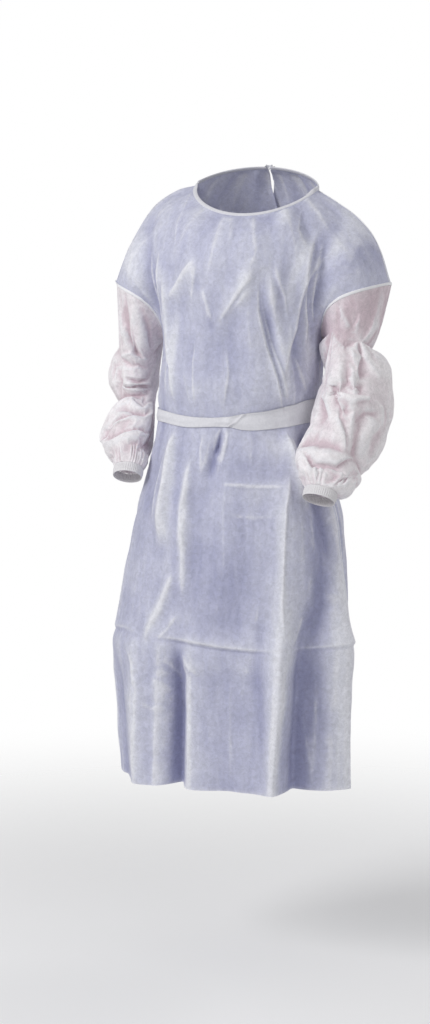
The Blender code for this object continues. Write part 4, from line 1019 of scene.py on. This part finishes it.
def cloth_material(name, deep, plain, crest, see_through):
    """Thin spunbonded cloth: clouds of fibres, a fine pattern of bonded points, painted shade that deepens
    its colour where it lies low, painted light that makes it paler where it stands out, and painted
    highlights that make the crests of its creases whiter."""
    made, nodes = new_material(name)
    place = add_node(nodes, "ShaderNodeTexCoord").outputs["Object"]
    upright = add_node(nodes, "ShaderNodeMapping", {"Vector": place, "Scale": (1.0, 1.0, 0.18)})
    clouds = noise(nodes, place, 120.0, 6.0, 0.68, 0.7)
    fibres = noise(nodes, place, 620.0, 4.0, 0.7, 2.4)
    patches = noise(nodes, place, 11.0, 3.0, 0.55, 0.6)
    streaks = noise(nodes, upright.outputs["Vector"], 75.0, 4.0, 0.6, 0.4)
    bonds = {"Vector": place, "Scale": 950.0, "Randomness": 0.35}
    points = add_node(nodes, "ShaderNodeTexVoronoi", bonds, feature="F1").outputs["Distance"]

    uneven = maths(nodes, "MULTIPLY_ADD", maths(nodes, "ADD", patches, streaks), 0.9, -0.9)
    # Painted light and shade, with some tint, carried on the points and moved by tone that differs at
    # random, picks the colour between the painted shade colour, the plain one and the painted light colour
    pale = ranged(nodes, maths(nodes, "ADD", attribute(nodes, "loft"), uneven), -1.0, 1.0)
    base = ramp(nodes, pale, deep, crest, plain)
    # Painted highlight: the crests of the creases are mixed towards white
    crests = maths(nodes, "MULTIPLY", attribute(nodes, "white"), 0.75, clamp=True)
    crested = {0: crests, 6: base, 7: (0.86, 0.86, 0.90, 1)}
    whiten = add_node(nodes, "ShaderNodeMix", crested, data_type="RGBA")

    mottle = maths(nodes, "ADD", clouds, fibres)
    cloudy = ranged(nodes, mottle, 0.80, 1.20, 0.85, 1.13)
    both = {0: 1.0, 6: whiten.outputs[2], 7: cloudy}
    colour = add_node(nodes, "ShaderNodeMix", both, data_type="RGBA", blend_type="MULTIPLY").outputs[2]
    normal = relief_normal(nodes, maths(nodes, "MULTIPLY_ADD", points, 0.55, mottle), 0.35)

    surface = add_node(nodes, "ShaderNodeBsdfPrincipled", {
        "Base Color": colour, "Normal": normal, "Roughness": 0.66, "Specular IOR Level": 0.25,
        "Sheen Weight": 0.08, "Sheen Roughness": 0.4,
    })
    through = add_node(nodes, "ShaderNodeBsdfTranslucent", {"Color": colour, "Normal": normal})
    mixed = {0: see_through, 1: surface.outputs[0], 2: through.outputs[0]}
    mix = add_node(nodes, "ShaderNodeMixShader", mixed)
    add_node(nodes, "ShaderNodeOutputMaterial", {"Surface": mix.outputs[0]})
    return made


def tape_material(name, low, high):
    """Folded tape or covered elastic: fibres, and a row of stitches along each edge, read from how far
    along the strip a point lies in millimetres and how close it is to a row."""
    made, nodes = new_material(name)
    place = add_node(nodes, "ShaderNodeTexCoord").outputs["Object"]
    clouds = noise(nodes, place, 240.0, 5.0, 0.65, 0.8)
    fibres = noise(nodes, place, 900.0, 3.0, 0.7, 2.0)
    mottle = maths(nodes, "ADD", clouds, fibres)
    colour = ramp(nodes, ranged(nodes, mottle, 0.65, 1.30), low, high)
    dash = maths(nodes, "SINE", maths(nodes, "MULTIPLY", attribute(nodes, "along"), STITCH_TURN))
    thread = ranged(nodes, dash, -0.5, 0.3)
    row = maths(nodes, "MULTIPLY", thread, attribute(nodes, "stitch"))
    normal = relief_normal(nodes, maths(nodes, "MULTIPLY_ADD", mottle, 0.5, row), 0.5)
    surface = add_node(nodes, "ShaderNodeBsdfPrincipled", {
        "Base Color": colour, "Normal": normal, "Roughness": 0.7, "Specular IOR Level": 0.3,
        "Sheen Weight": 0.1,
    })
    add_node(nodes, "ShaderNodeOutputMaterial", {"Surface": surface.outputs[0]})
    return made


def floor_material():
    """A pale ground that is clear away from the middle."""
    made, nodes = new_material("studio_floor")
    place = add_node(nodes, "ShaderNodeTexCoord").outputs["Object"]
    colour = ramp(nodes, noise(nodes, place, 1.2, 3.0), (0.86, 0.86, 0.87), (0.89, 0.89, 0.90))
    values = {"Base Color": colour, "Roughness": 0.9, "Specular IOR Level": 0.1}
    surface = add_node(nodes, "ShaderNodeBsdfPrincipled", values)
    away = add_node(nodes, "ShaderNodeVectorMath", {0: place}, operation="LENGTH").outputs["Value"]
    fade = ranged(nodes, away, 0.5, 2.2, interpolation_type="SMOOTHSTEP")
    clear = add_node(nodes, "ShaderNodeBsdfTransparent")
    both = add_node(nodes, "ShaderNodeMixShader", {0: fade, 1: surface.outputs[0], 2: clear.outputs[0]})
    add_node(nodes, "ShaderNodeOutputMaterial", {"Surface": both.outputs[0]})
    return made


# Each cloth's colours: painted shade in its low places, its plain colour, painted light on its crests, and
# how much light passes through it
BODY_CLOTH = cloth_material(
    "gown_body", (0.335, 0.345, 0.51), (0.525, 0.535, 0.675), (0.74, 0.75, 0.82), 0.10
)
SLEEVE_CLOTH = cloth_material(
    "gown_sleeve", (0.70, 0.585, 0.635), (0.86, 0.80, 0.835), (0.95, 0.925, 0.945), 0.16
)
TAPE = tape_material("gown_tape", (0.60, 0.60, 0.65), (0.74, 0.74, 0.78))
SEAM = tape_material("gown_seam", (0.80, 0.80, 0.84), (0.90, 0.90, 0.92))
CUFF = tape_material("gown_cuff", (0.62, 0.605, 0.63), (0.76, 0.75, 0.77))


# Pieces


def add_piece(name, grid, material, slot, closed=False, **values):
    """A mesh from a grid of points, with values on its points for its material to read."""
    rows, columns = grid.shape[:2]
    index = np.arange(rows * columns).reshape(rows, columns)
    if closed:
        index = np.concatenate([index, index[:, :1]], 1)
    faces = quads(index)
    mesh = bpy.data.meshes.new(name)
    mesh.vertices.add(rows * columns)
    mesh.vertices.foreach_set("co", grid.reshape(-1).astype(np.float32))
    mesh.loops.add(faces.size)
    mesh.loops.foreach_set("vertex_index", faces.reshape(-1).astype(np.int32))
    mesh.polygons.add(len(faces))
    mesh.polygons.foreach_set("loop_start", np.arange(0, faces.size, 4, dtype=np.int32))
    mesh.update(calc_edges=True)
    mesh.validate()
    mesh.shade_smooth()
    for key, value in values.items():
        values_there = np.broadcast_to(value, (rows, columns)).reshape(-1).astype(np.float32)
        mesh.attributes.new(key, "FLOAT", "POINT").data.foreach_set("value", values_there)
    mesh.materials.append(material)
    made = add_object(name, mesh)
    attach(made, "root")
    return made


def strip(
    name, path, out, across, height, thickness, material,
    closed=False, points=12, wave=0.0, stitched=True,
):
    """A flattened tube along a path: height is its size along the across directions."""
    turn = np.linspace(0, 2 * math.pi, points, endpoint=False)
    ends = np.ones(len(path))
    if not closed:
        ends[[0, -1]] = 0.55
    steps = np.linalg.norm(np.roll(path, -1, 0) - path, axis=1)
    run = np.concatenate([[0], np.cumsum(steps[:-1])])
    swell = 1 + wave * FINE_NOISE(path / 0.009)
    rings = (
        path[:, None]
        + across[:, None] * (np.cos(turn)[None] * height / 2 * ends[:, None])[..., None]
        + out[:, None] * (np.sin(turn)[None] * thickness / 2 * (ends * swell)[:, None])[..., None]
    )
    if closed:
        rings = np.concatenate([rings, rings[:1]])
        run = np.concatenate([run, [run[-1] + steps[-1]]])
    line = np.exp(-(((np.abs(np.cos(turn)) - 0.62) / 0.16) ** 2)) * (1.0 if stitched else 0.0)
    along = (run * 1000)[:, None]
    return add_piece(name, rings, material, "tape", closed=True, along=along, stitch=line[None])


def add_body():
    """The front and the two backs."""
    dense = ((-0.797, 0.022, 1.6), (WAIST_Z, 0.03, 0.4), (-0.520, 0.01, 0.5))
    low = spread(SKIRT_ROWS, HEM_Z, UNDERARM_Z, *dense)
    chest = 1 + np.linspace(0, 1, CHEST_ROWS + 1)[1:] ** 1.2
    ups = np.concatenate([(low - HEM_Z) / (UNDERARM_Z - HEM_Z), chest])
    past = back_overlap_share(ups)[:, None]
    half = np.linspace(0, 1, BACK_COLUMNS + 1)
    left_back = np.where(half <= 0.5, 1 - half, 0.5 - (2 * half - 1) * (0.5 + past))
    front = spread(FRONT_COLUMNS, -1, 1, (47 / 90, 0.09, 1.0), (-42 / 90, 0.12, 0.5))
    shares = {
        "front": (-1, np.broadcast_to(front, (len(ups), len(front)))),
        "back_left": (1, left_back),
        "back_right": (1, -left_back[:, ::-1]),
    }
    grids, normals = {}, {}
    for name, (side, share) in shares.items():
        up = np.broadcast_to(ups[:, None], share.shape)
        grid, normal, pale, white = dress(side, share, up, name == "back_left")
        grids[name], normals[name] = grid, normal
        # Painted highlight: points that stand proud of their close neighbours are painted whiter, and a
        # white line runs along the hem's edge. Painted light and shade: broad rises are painted paler and
        # broad hollows deeper in colour, on top of what dress paints.
        sharp = stands_proud(grid, False, 6, normal) / 0.00035
        broad = stands_proud(grid, False, 60, normal) / 0.0030
        white = np.maximum(0.65 * white, 0.6 * smooth_step((sharp - 0.5) / 1.6))
        edge = np.exp(-(((grid[..., 2] - grid[0, :, 2][None]) / 0.0035) ** 2))
        white = np.maximum(white, 0.4 * edge)
        loft = np.clip(0.4 * broad + pale, -1, 1)
        made = add_piece(name + "_cloth", grid, BODY_CLOTH, "body_cloth", loft=loft, white=white)
        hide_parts(name)
    return grids, normals


def armhole_ring(grids, hand):
    """The armhole's points from the shoulder seam down the front and up the back."""
    rows = SKIRT_ROWS + np.arange(CHEST_ROWS + 1)
    front = grids["front"][rows, -1 if hand > 0 else 0]
    back = grids["back_left"][rows, 0] if hand > 0 else grids["back_right"][rows, -1]
    return np.concatenate([front[::-1], back[1:-1]])


def sleeve_frames(hand, shares):
    """Centres along an arm, and the directions along it, to its outer side and to its front."""
    arm = ARMS[hand]
    centres = arm.point(shares)
    along = unit(arm.point(np.clip(shares + 0.02, 0, 1)) - arm.point(np.clip(shares - 0.02, 0, 1)))
    outer = unit(np.array([hand, 0.0, 0.0]) - along * (along[:, :1] * hand))
    front = np.cross(along, outer) * hand
    lean = np.radians(arm.read("turned_up", shares))[:, None]
    return centres, along, outer * np.cos(lean) - along * np.sin(lean), front


def gathers(turn, shares, hand):
    """The little pleats above a cuff, uneven in width, from -1 to 1."""
    bent = turn + 0.10 * np.sin(3 * turn + hand) + 0.06 * np.sin(7 * turn + 2.0 * hand)
    bent = bent + 0.05 * np.sin(5 * turn + 9 * shares)
    return 0.65 * np.cos(22 * bent) + 0.35 * np.cos(35 * bent + 1.3) + 0.25 * np.cos(13 * bent + 0.4)


def add_sleeve(name, hand, start):
    """A sleeve from its armhole down to the wrist."""
    arm = ARMS[hand]
    shares = np.linspace(0.0, 1.0, SLEEVE_ROWS // 2 + 1)[:, None]
    start_half = start[::2]
    turn = np.linspace(0, 2 * math.pi, len(start_half), endpoint=False)[None, :]
    centres, _, outer, front = sleeve_frames(hand, shares[:, 0])
    across, ahead = np.cos(turn), np.sin(turn)
    width = np.where(across > 0, arm.read("outer", shares), arm.read("inner", shares))
    depth = np.where(ahead > 0, arm.read("front", shares), arm.read("back", shares))
    degrees = np.degrees(turn)
    large = fold_height(SLEEVE_FOLDS[hand], degrees, shares, SLEEVE_RADIUS, SLEEVE_LENGTH)
    fine, _ = crease_relief(SLEEVE_CREASES[hand], degrees, shares, SLEEVE_RADIUS, SLEEVE_LENGTH)

    def moved_out(out):
        """The sleeve's plain form, moved out by so much from the arm's centre line."""
        return (
            centres[:, None]
            + outer[:, None] * (across * (width + out))[..., None]
            + front[:, None] * (ahead * (depth + out))[..., None]
        )

    quiet = smooth_step(shares / 0.10) * smooth_step((1.0 - shares) / 0.05)
    ridges = SLEEVE_RIDGES[0] * crumple(moved_out(0.0) + 2.0 * hand, SLEEVE_RIDGES[1])
    fine = (fine + ridges) * quiet
    pulled = smooth_step((shares - 0.885) / 0.05)
    pulled = pulled * (0.45 + 0.55 * smooth_step((1.012 - shares) / 0.05))
    out = large + fine + pulled * 0.0022 * gathers(turn, shares, hand)
    blend = smooth_step(shares / 0.12)[..., None]
    rings = start_half * (1 - blend) + moved_out(out) * blend
    girth = np.linalg.norm(np.roll(rings, -1, 1) - rings, axis=-1).sum(1)
    cut_girth = np.maximum(girth * REST_EASE, np.interp(shares[:, 0], REST_PLACES, REST_GIRTHS))
    cut_girth[0] = girth[0]
    rest = np.stack([
        np.cos(turn) * (cut_girth / (2 * math.pi))[:, None],
        np.sin(turn) * (cut_girth / (2 * math.pi))[:, None],
        np.broadcast_to(-shares * SLEEVE_CUT[hand], (len(shares), turn.shape[1])),
    ], -1)
    hold = 0.06 + 0.94 * np.maximum(smooth_step(1 - shares / 0.05), smooth_step((shares - 0.985) / 0.01))
    rings = settle(rings, rest, hold)
    rings = finer(rings, True)
    rings[0] = start
    if hand < 0:
        rings = rings[:, ::-1]
    facing = grid_normals(rings, True)
    # Painted highlight on points that stand proud of their close neighbours; painted light and shade, broad
    # rises paler and broad hollows deeper in colour, with the painted shade of SLEEVE_TOP_SHADE near the top
    sharp = stands_proud(rings, True, 5, facing) / 0.0004
    broad = stands_proud(rings, True, 60, facing) / 0.0028
    white = 0.6 * smooth_step((sharp - 0.4) / 1.6)
    down = np.linspace(0, 1, len(rings))[:, None]
    shade = SLEEVE_TOP_SHADE[hand] * np.exp(-(((down - 0.10) / 0.11) ** 2))
    loft = np.clip(broad - shade, -1, 1)
    made = add_piece(
        name + "_cloth", rings, SLEEVE_CLOTH, "sleeve_cloth", closed=True, loft=loft, white=white
    )
    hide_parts(name)
    return rings


def add_cuff(name, hand):
    """An elastic cuff: a covered band drawn up into fine ribs."""
    arm = ARMS[hand]
    turn = np.linspace(0, 2 * math.pi, 288, endpoint=False)
    centre, along, outer, front = (value[0] for value in sleeve_frames(hand, np.array([1.0])))
    sizes = arm.columns["outer"][-1], arm.columns["front"][-1]
    step = np.linspace(0, 1, CUFF_ROWS)[:, None]
    heights = step * CUFF_HEIGHT
    walls = 0.0009 * np.sin(math.pi * np.clip(step, 0.06, 0.94)) ** 0.35
    ribs = np.cos(48 * turn + 0.7 * np.sin(5 * turn) + 0.4 * np.sin(9 * turn))[None]
    rib_size = 0.00055 * np.sin(np.linspace(0.15, math.pi - 0.15, CUFF_ROWS))[:, None]
    dent = -0.0004 * sum(np.exp(-(((heights - at) / 0.0009) ** 2)) for at in CUFF_STITCHES)
    layers = []
    for face in (1, -1):
        out = face * walls + ribs * rib_size + (dent if face > 0 else 0)
        taper = 1 - 0.03 * heights / CUFF_HEIGHT
        ring = (
            outer * (np.cos(turn)[None] * (sizes[0] * taper + out))[..., None]
            + front * (np.sin(turn)[None] * (sizes[1] * taper + out))[..., None]
            + along * (0.0006 + heights)[..., None]
        )
        layers.append(centre + ring)
    grid = np.concatenate([layers[0], layers[1][::-1], layers[0][:1]])
    if hand < 0:
        grid = grid[:, ::-1]
    run = np.concatenate([heights[:, 0], heights[::-1, 0], heights[:1, 0]])
    line = sum(np.exp(-(((run - at) / 0.0007) ** 2)) for at in CUFF_STITCHES)[:, None]
    along = (turn * CUFF_RADIUS_MM)[None]
    made = add_piece(name + "_band", grid, CUFF, "cuff_knit", closed=True, along=along, stitch=line)
    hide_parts(name)


def add_neck_binding():
    """The folded binding round the neck edge."""
    past = np.linspace(0.0, NECK_SHARE, 90)
    front = np.linspace(-NECK_SHARE, NECK_SHARE, 260)[1:-1]
    parts = [(1, -past), (-1, front), (1, past[::-1])]
    points, out = [], []
    for side, share in parts:
        share = np.clip(share, -0.4999, 0.4999)
        up = np.full(share.shape, 2.0)
        points.append(dress(side, share, up)[0])
        out.append(plain_normals(side, share, up - 0.01))
    edge, out = np.concatenate(points), unit(np.concatenate(out))
    for _ in range(6):
        out[1:-1] = unit(out[:-2] + 2 * out[1:-1] + out[2:])
    gap = BACK_EDGES_APART / 2
    keep = (np.abs(edge[:, 0]) > gap) | (edge[:, 1] < 0)
    edge, out = edge[keep], out[keep]
    inward = unit(np.cross(out, np.gradient(edge, axis=0)))
    path = edge + inward * (BINDING_HEIGHT / 2 - 0.0004)
    made = strip(
        "neck_binding_tape", path, out, inward, BINDING_HEIGHT, 0.0026, TAPE, points=20, wave=0.22
    )
    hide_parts("neck_binding")


def add_seam(name, path, tangent, out, lift, height, thickness, wave, closed=False):
    """A narrow overlocked seam along a path, on the side that out points to."""
    across = unit(np.cross(out, tangent))
    strip(name, path + out * lift, out, across, height, thickness, SEAM, closed, points=8, wave=wave)


def add_seams(grids, normals, rings):
    """The seams at the armholes, shoulders and sides."""
    for name, hand in (("left", 1), ("right", -1)):
        sleeve = rings[hand][:, ::hand]
        seam = sleeve[0]
        tangent = unit(np.roll(seam, -1, 0) - np.roll(seam, 1, 0))
        out = np.cross(unit(sleeve[4] - seam), tangent)
        out = unit(out * np.sign((out * (seam - seam.mean(axis=0))).sum(-1, keepdims=True)))
        for _ in range(8):
            out = unit(np.roll(out, 1, 0) + 2 * out + np.roll(out, -1, 0))
        add_seam("armhole_seam_" + name, seam, tangent, out, 0.0003, 0.0056, 0.0011, 0.9, closed=True)

        share = np.linspace(NECK_SHARE + 0.004, 1.0, 80) * hand
        top = dress(-1, share, np.full(share.shape, 2.0))[0]
        below = np.full(share.shape, 1.99)
        out = unit(plain_normals(-1, share, below) + plain_normals(1, share, below))
        add_seam("shoulder_seam_" + name, top, np.gradient(top, axis=0), out, 0.0002, 0.0030, 0.0012, 0.5)

        column = -1 if hand > 0 else 0
        side = grids["front"][: SKIRT_ROWS + 1, column]
        out = normals["front"][: SKIRT_ROWS + 1, column]
        add_seam("side_seam_" + name, side, np.gradient(side, axis=0), out, 0.0001, 0.0026, 0.0010, 0.5)


def tie_layers(count):
    """Where each row of points lies across a flat tape, from -0.5 to 0.5, and on which face."""
    face = np.linspace(-0.5, 0.5, count)
    return np.concatenate([face, face[::-1]]), np.concatenate([np.ones(count), -np.ones(count)])


def add_waist_tie():
    """The waist tie: a soft tape laid round the body. It is folded in two as far as a twist near the
    centre front, and spreads out flat beyond it."""
    angles = spread(TIE_COLUMNS, -179.6, 179.6, (10, 14, 1.2))
    where, face = tie_layers(22)
    middle, width = WAIST_TIE.read("z", angles), WAIST_TIE.read("width", angles)
    z = middle[None, :] + width[None, :] * where[:, None]
    side_front = np.abs(angles) <= 90
    points = np.zeros((len(where), len(angles), 3))
    out = np.zeros_like(points)
    for side, pick in ((-1, side_front), (1, ~side_front)):
        there = angles[pick]
        share = (there if side < 0 else np.where(there > 0, 180 - there, -180 - there)) / 90
        grid_share = np.broadcast_to(share, (len(where), pick.sum()))
        up = (z[:, pick] - HEM_Z) / (UNDERARM_Z - HEM_Z)
        base, normal, _, _ = dress(side, grid_share, up)
        lift = np.where(side > 0, back_lift(np.where(grid_share > -0.4, grid_share, 1.0), up), 0.0)
        points[:, pick] = base + normal * lift[..., None]
        out[:, pick] = normal
    turn = np.radians(angles)[None, :]
    across = where[:, None]
    flat = smooth_step((angles - 9) / 8)[None, :]
    rim = np.clip(1 - (np.abs(across) * 2) ** 6, 0, 1)
    wall = (0.00075 + 0.0003 * (1 - flat)) * rim
    pleat = 0.0007 * np.cos(3 * math.pi * across + 0.8 * np.sin(3 * turn))
    pleat = pleat * (0.6 + 0.4 * np.sin(5 * turn))
    ripple = 0.0006 * FINE_NOISE(points / np.array([0.018, 0.018, 0.010]))
    edge_roll = 0.0008 * flat * np.exp(-(((across - 0.44) / 0.06) ** 2))
    twist = 0.0030 * np.exp(-(((angles - 11) / 3.2) ** 2))[None, :] * np.cos(math.pi * across)
    twist = twist + 0.0016 * np.exp(-(((angles - 17 - 14 * across) / 1.7) ** 2))
    lift = 0.0020 + face[:, None] * wall + pleat + ripple + edge_roll + twist
    grid = points + out * lift[..., None]
    grid = np.concatenate([grid, grid[:1]]).transpose(1, 0, 2)
    steps = np.linalg.norm(np.diff(grid[:, 11], axis=0), axis=1)
    run = np.concatenate([[0], np.cumsum(steps)])
    line = np.exp(-(((np.abs(where) - 0.42) / 0.03) ** 2))
    along, stitch = (run * 1000)[:, None], line[None]
    made = add_piece("waist_tie_tape", grid[:, :-1], TAPE, "tape", closed=True, along=along, stitch=stitch)
    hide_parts("waist_tie")


def add_tie_end(name, angle, top_z, length, cut_width, width, drift, stand_off, start):
    """A flat end of tape that hangs from its knot down the back."""
    rows = 90
    where, face = tie_layers(12)
    ups = np.linspace(2, 0, 600)
    centre_line = plain_surface(1, np.zeros_like(ups), ups)[:, 2]
    down = np.linspace(0, 1, rows)[:, None]
    heights = top_z - length * down
    up = np.interp(heights, centre_line[::-1], ups[::-1])
    sway = 0.003 * np.sin(6.5 * down + angle)
    narrow = 0.55 + 0.45 * smooth_step(down / 0.10)
    share = (180.0 - angle) / 90.0
    shift = drift * down**1.4 + sway * down + where[None] * width * narrow
    share = share + shift / (math.pi / 2 * MEAN_RADIUS)
    up = np.broadcast_to(up, share.shape)
    base, normals = plain_surface(1, share, up), plain_normals(1, share, up)
    lift = BACK_LIFT * smooth_step((NECK_END_Z - base[..., 2]) / 0.012) + stand_off
    lift = lift + start * smooth_step(1 - 8 * down)
    curl = 0.0010 * np.sin(17 * down + 2.2 * where[None] + angle)
    curl = curl + 0.0007 * np.cos(4 * math.pi * where[None])
    rim = np.clip(1 - (np.abs(where[None]) * 2) ** 6, 0, 1)
    grid = base + normals * (lift + curl + face[None] * 0.0006 * rim + 0.0012)[..., None]
    line = np.exp(-(((np.abs(where) - 0.40) / 0.05) ** 2))
    along, stitch = -heights * 1000, line[None]
    made = add_piece(name + "_tape", grid, TAPE, "tape", closed=True, along=along, stitch=stitch)
    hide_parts(name)


def add_knot(name, node):
    """A tied knot of soft tape, wound in the box that its solid holds."""
    low, high = (np.array(corner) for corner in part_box(node))
    centre, half = (low + high) / 2, (high - low) / 2
    t = np.linspace(0, 2 * math.pi, 160, endpoint=False)
    path = np.stack([
        0.62 * (np.sin(t) + 0.35 * np.sin(2 * t)),
        0.45 * np.cos(3 * t) + 0.12,
        0.58 * (np.cos(t) - 0.55 * np.cos(2 * t)),
    ], -1) * half + centre
    tangent = unit(np.roll(path, -1, 0) - np.roll(path, 1, 0))
    out = unit(path - centre + np.array([0, 0.35, 0]) * half)
    out = unit(out - tangent * (out * tangent).sum(-1, keepdims=True))
    across = np.cross(out, tangent)
    made = strip(
        name, path, out, across, half[2] * 0.62, half[1] * 0.42, TAPE,
        closed=True, points=16, wave=0.35, stitched=False,
    )
    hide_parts(node)


def add_stage():
    """A pale floor, a white surround, soft lights and the camera."""
    scene = bpy.context.scene
    mesh = bpy.data.meshes.new("floor")
    turns = np.linspace(0, 2 * math.pi, FLOOR_CORNERS, endpoint=False)
    ring = [(FLOOR_RADIUS * math.cos(turn), FLOOR_RADIUS * math.sin(turn), 0.0) for turn in turns]
    mesh.from_pydata(ring, [], [list(range(FLOOR_CORNERS))])
    mesh.materials.append(floor_material())
    add_object("floor", mesh, (0.0, 0.0, FLOOR_Z))

    world = bpy.data.worlds.new("studio")
    scene.world = world
    world.use_nodes = True
    nodes = world.node_tree.nodes
    seen = add_node(nodes, "ShaderNodeLightPath").outputs["Is Camera Ray"]
    strength = ranged(nodes, seen, 0.0, 1.0, WORLD_LIGHT, 1.0)
    nodes["Background"].inputs["Color"].default_value = (1.0, 1.0, 1.0, 1)
    world.node_tree.links.new(strength, nodes["Background"].inputs["Strength"])

    for name, place, size, power in LIGHTS:
        light = bpy.data.lights.new(name, "AREA")
        light.shape, light.size, light.energy = "DISK", size, power
        add_object(name, light, place, Vector(LIT_PLACE) - Vector(place))

    turn, down = math.radians(CAMERA_AZIMUTH), math.radians(CAMERA_DOWN)
    view = bpy.data.cameras.new("camera")
    view.sensor_fit, view.sensor_height, view.lens = "VERTICAL", 36.0, CAMERA_LENS
    aim = Vector((-math.sin(turn) * math.cos(down), math.cos(turn) * math.cos(down), -math.sin(down)))
    scene.camera = add_object("camera", view, CAMERA_PLACE, aim)
    scene.view_settings.view_transform = "Standard"
    scene.view_settings.look = "None"


add_stage()
add_neck_binding()
grids, normals = add_body()
rings = {}
for name, hand in (("left", 1), ("right", -1)):
    rings[hand] = add_sleeve("sleeve_" + name, hand, armhole_ring(grids, hand))
    add_cuff("cuff_" + name, hand)
add_seams(grids, normals, rings)
add_waist_tie()
add_knot("waist_tie_knot_tape", "waist_tie_knot")
add_knot("neck_tie_knot_tape", "neck_tie_knot")
for name, sizes in TIE_ENDS.items():
    add_tie_end(name, *sizes)
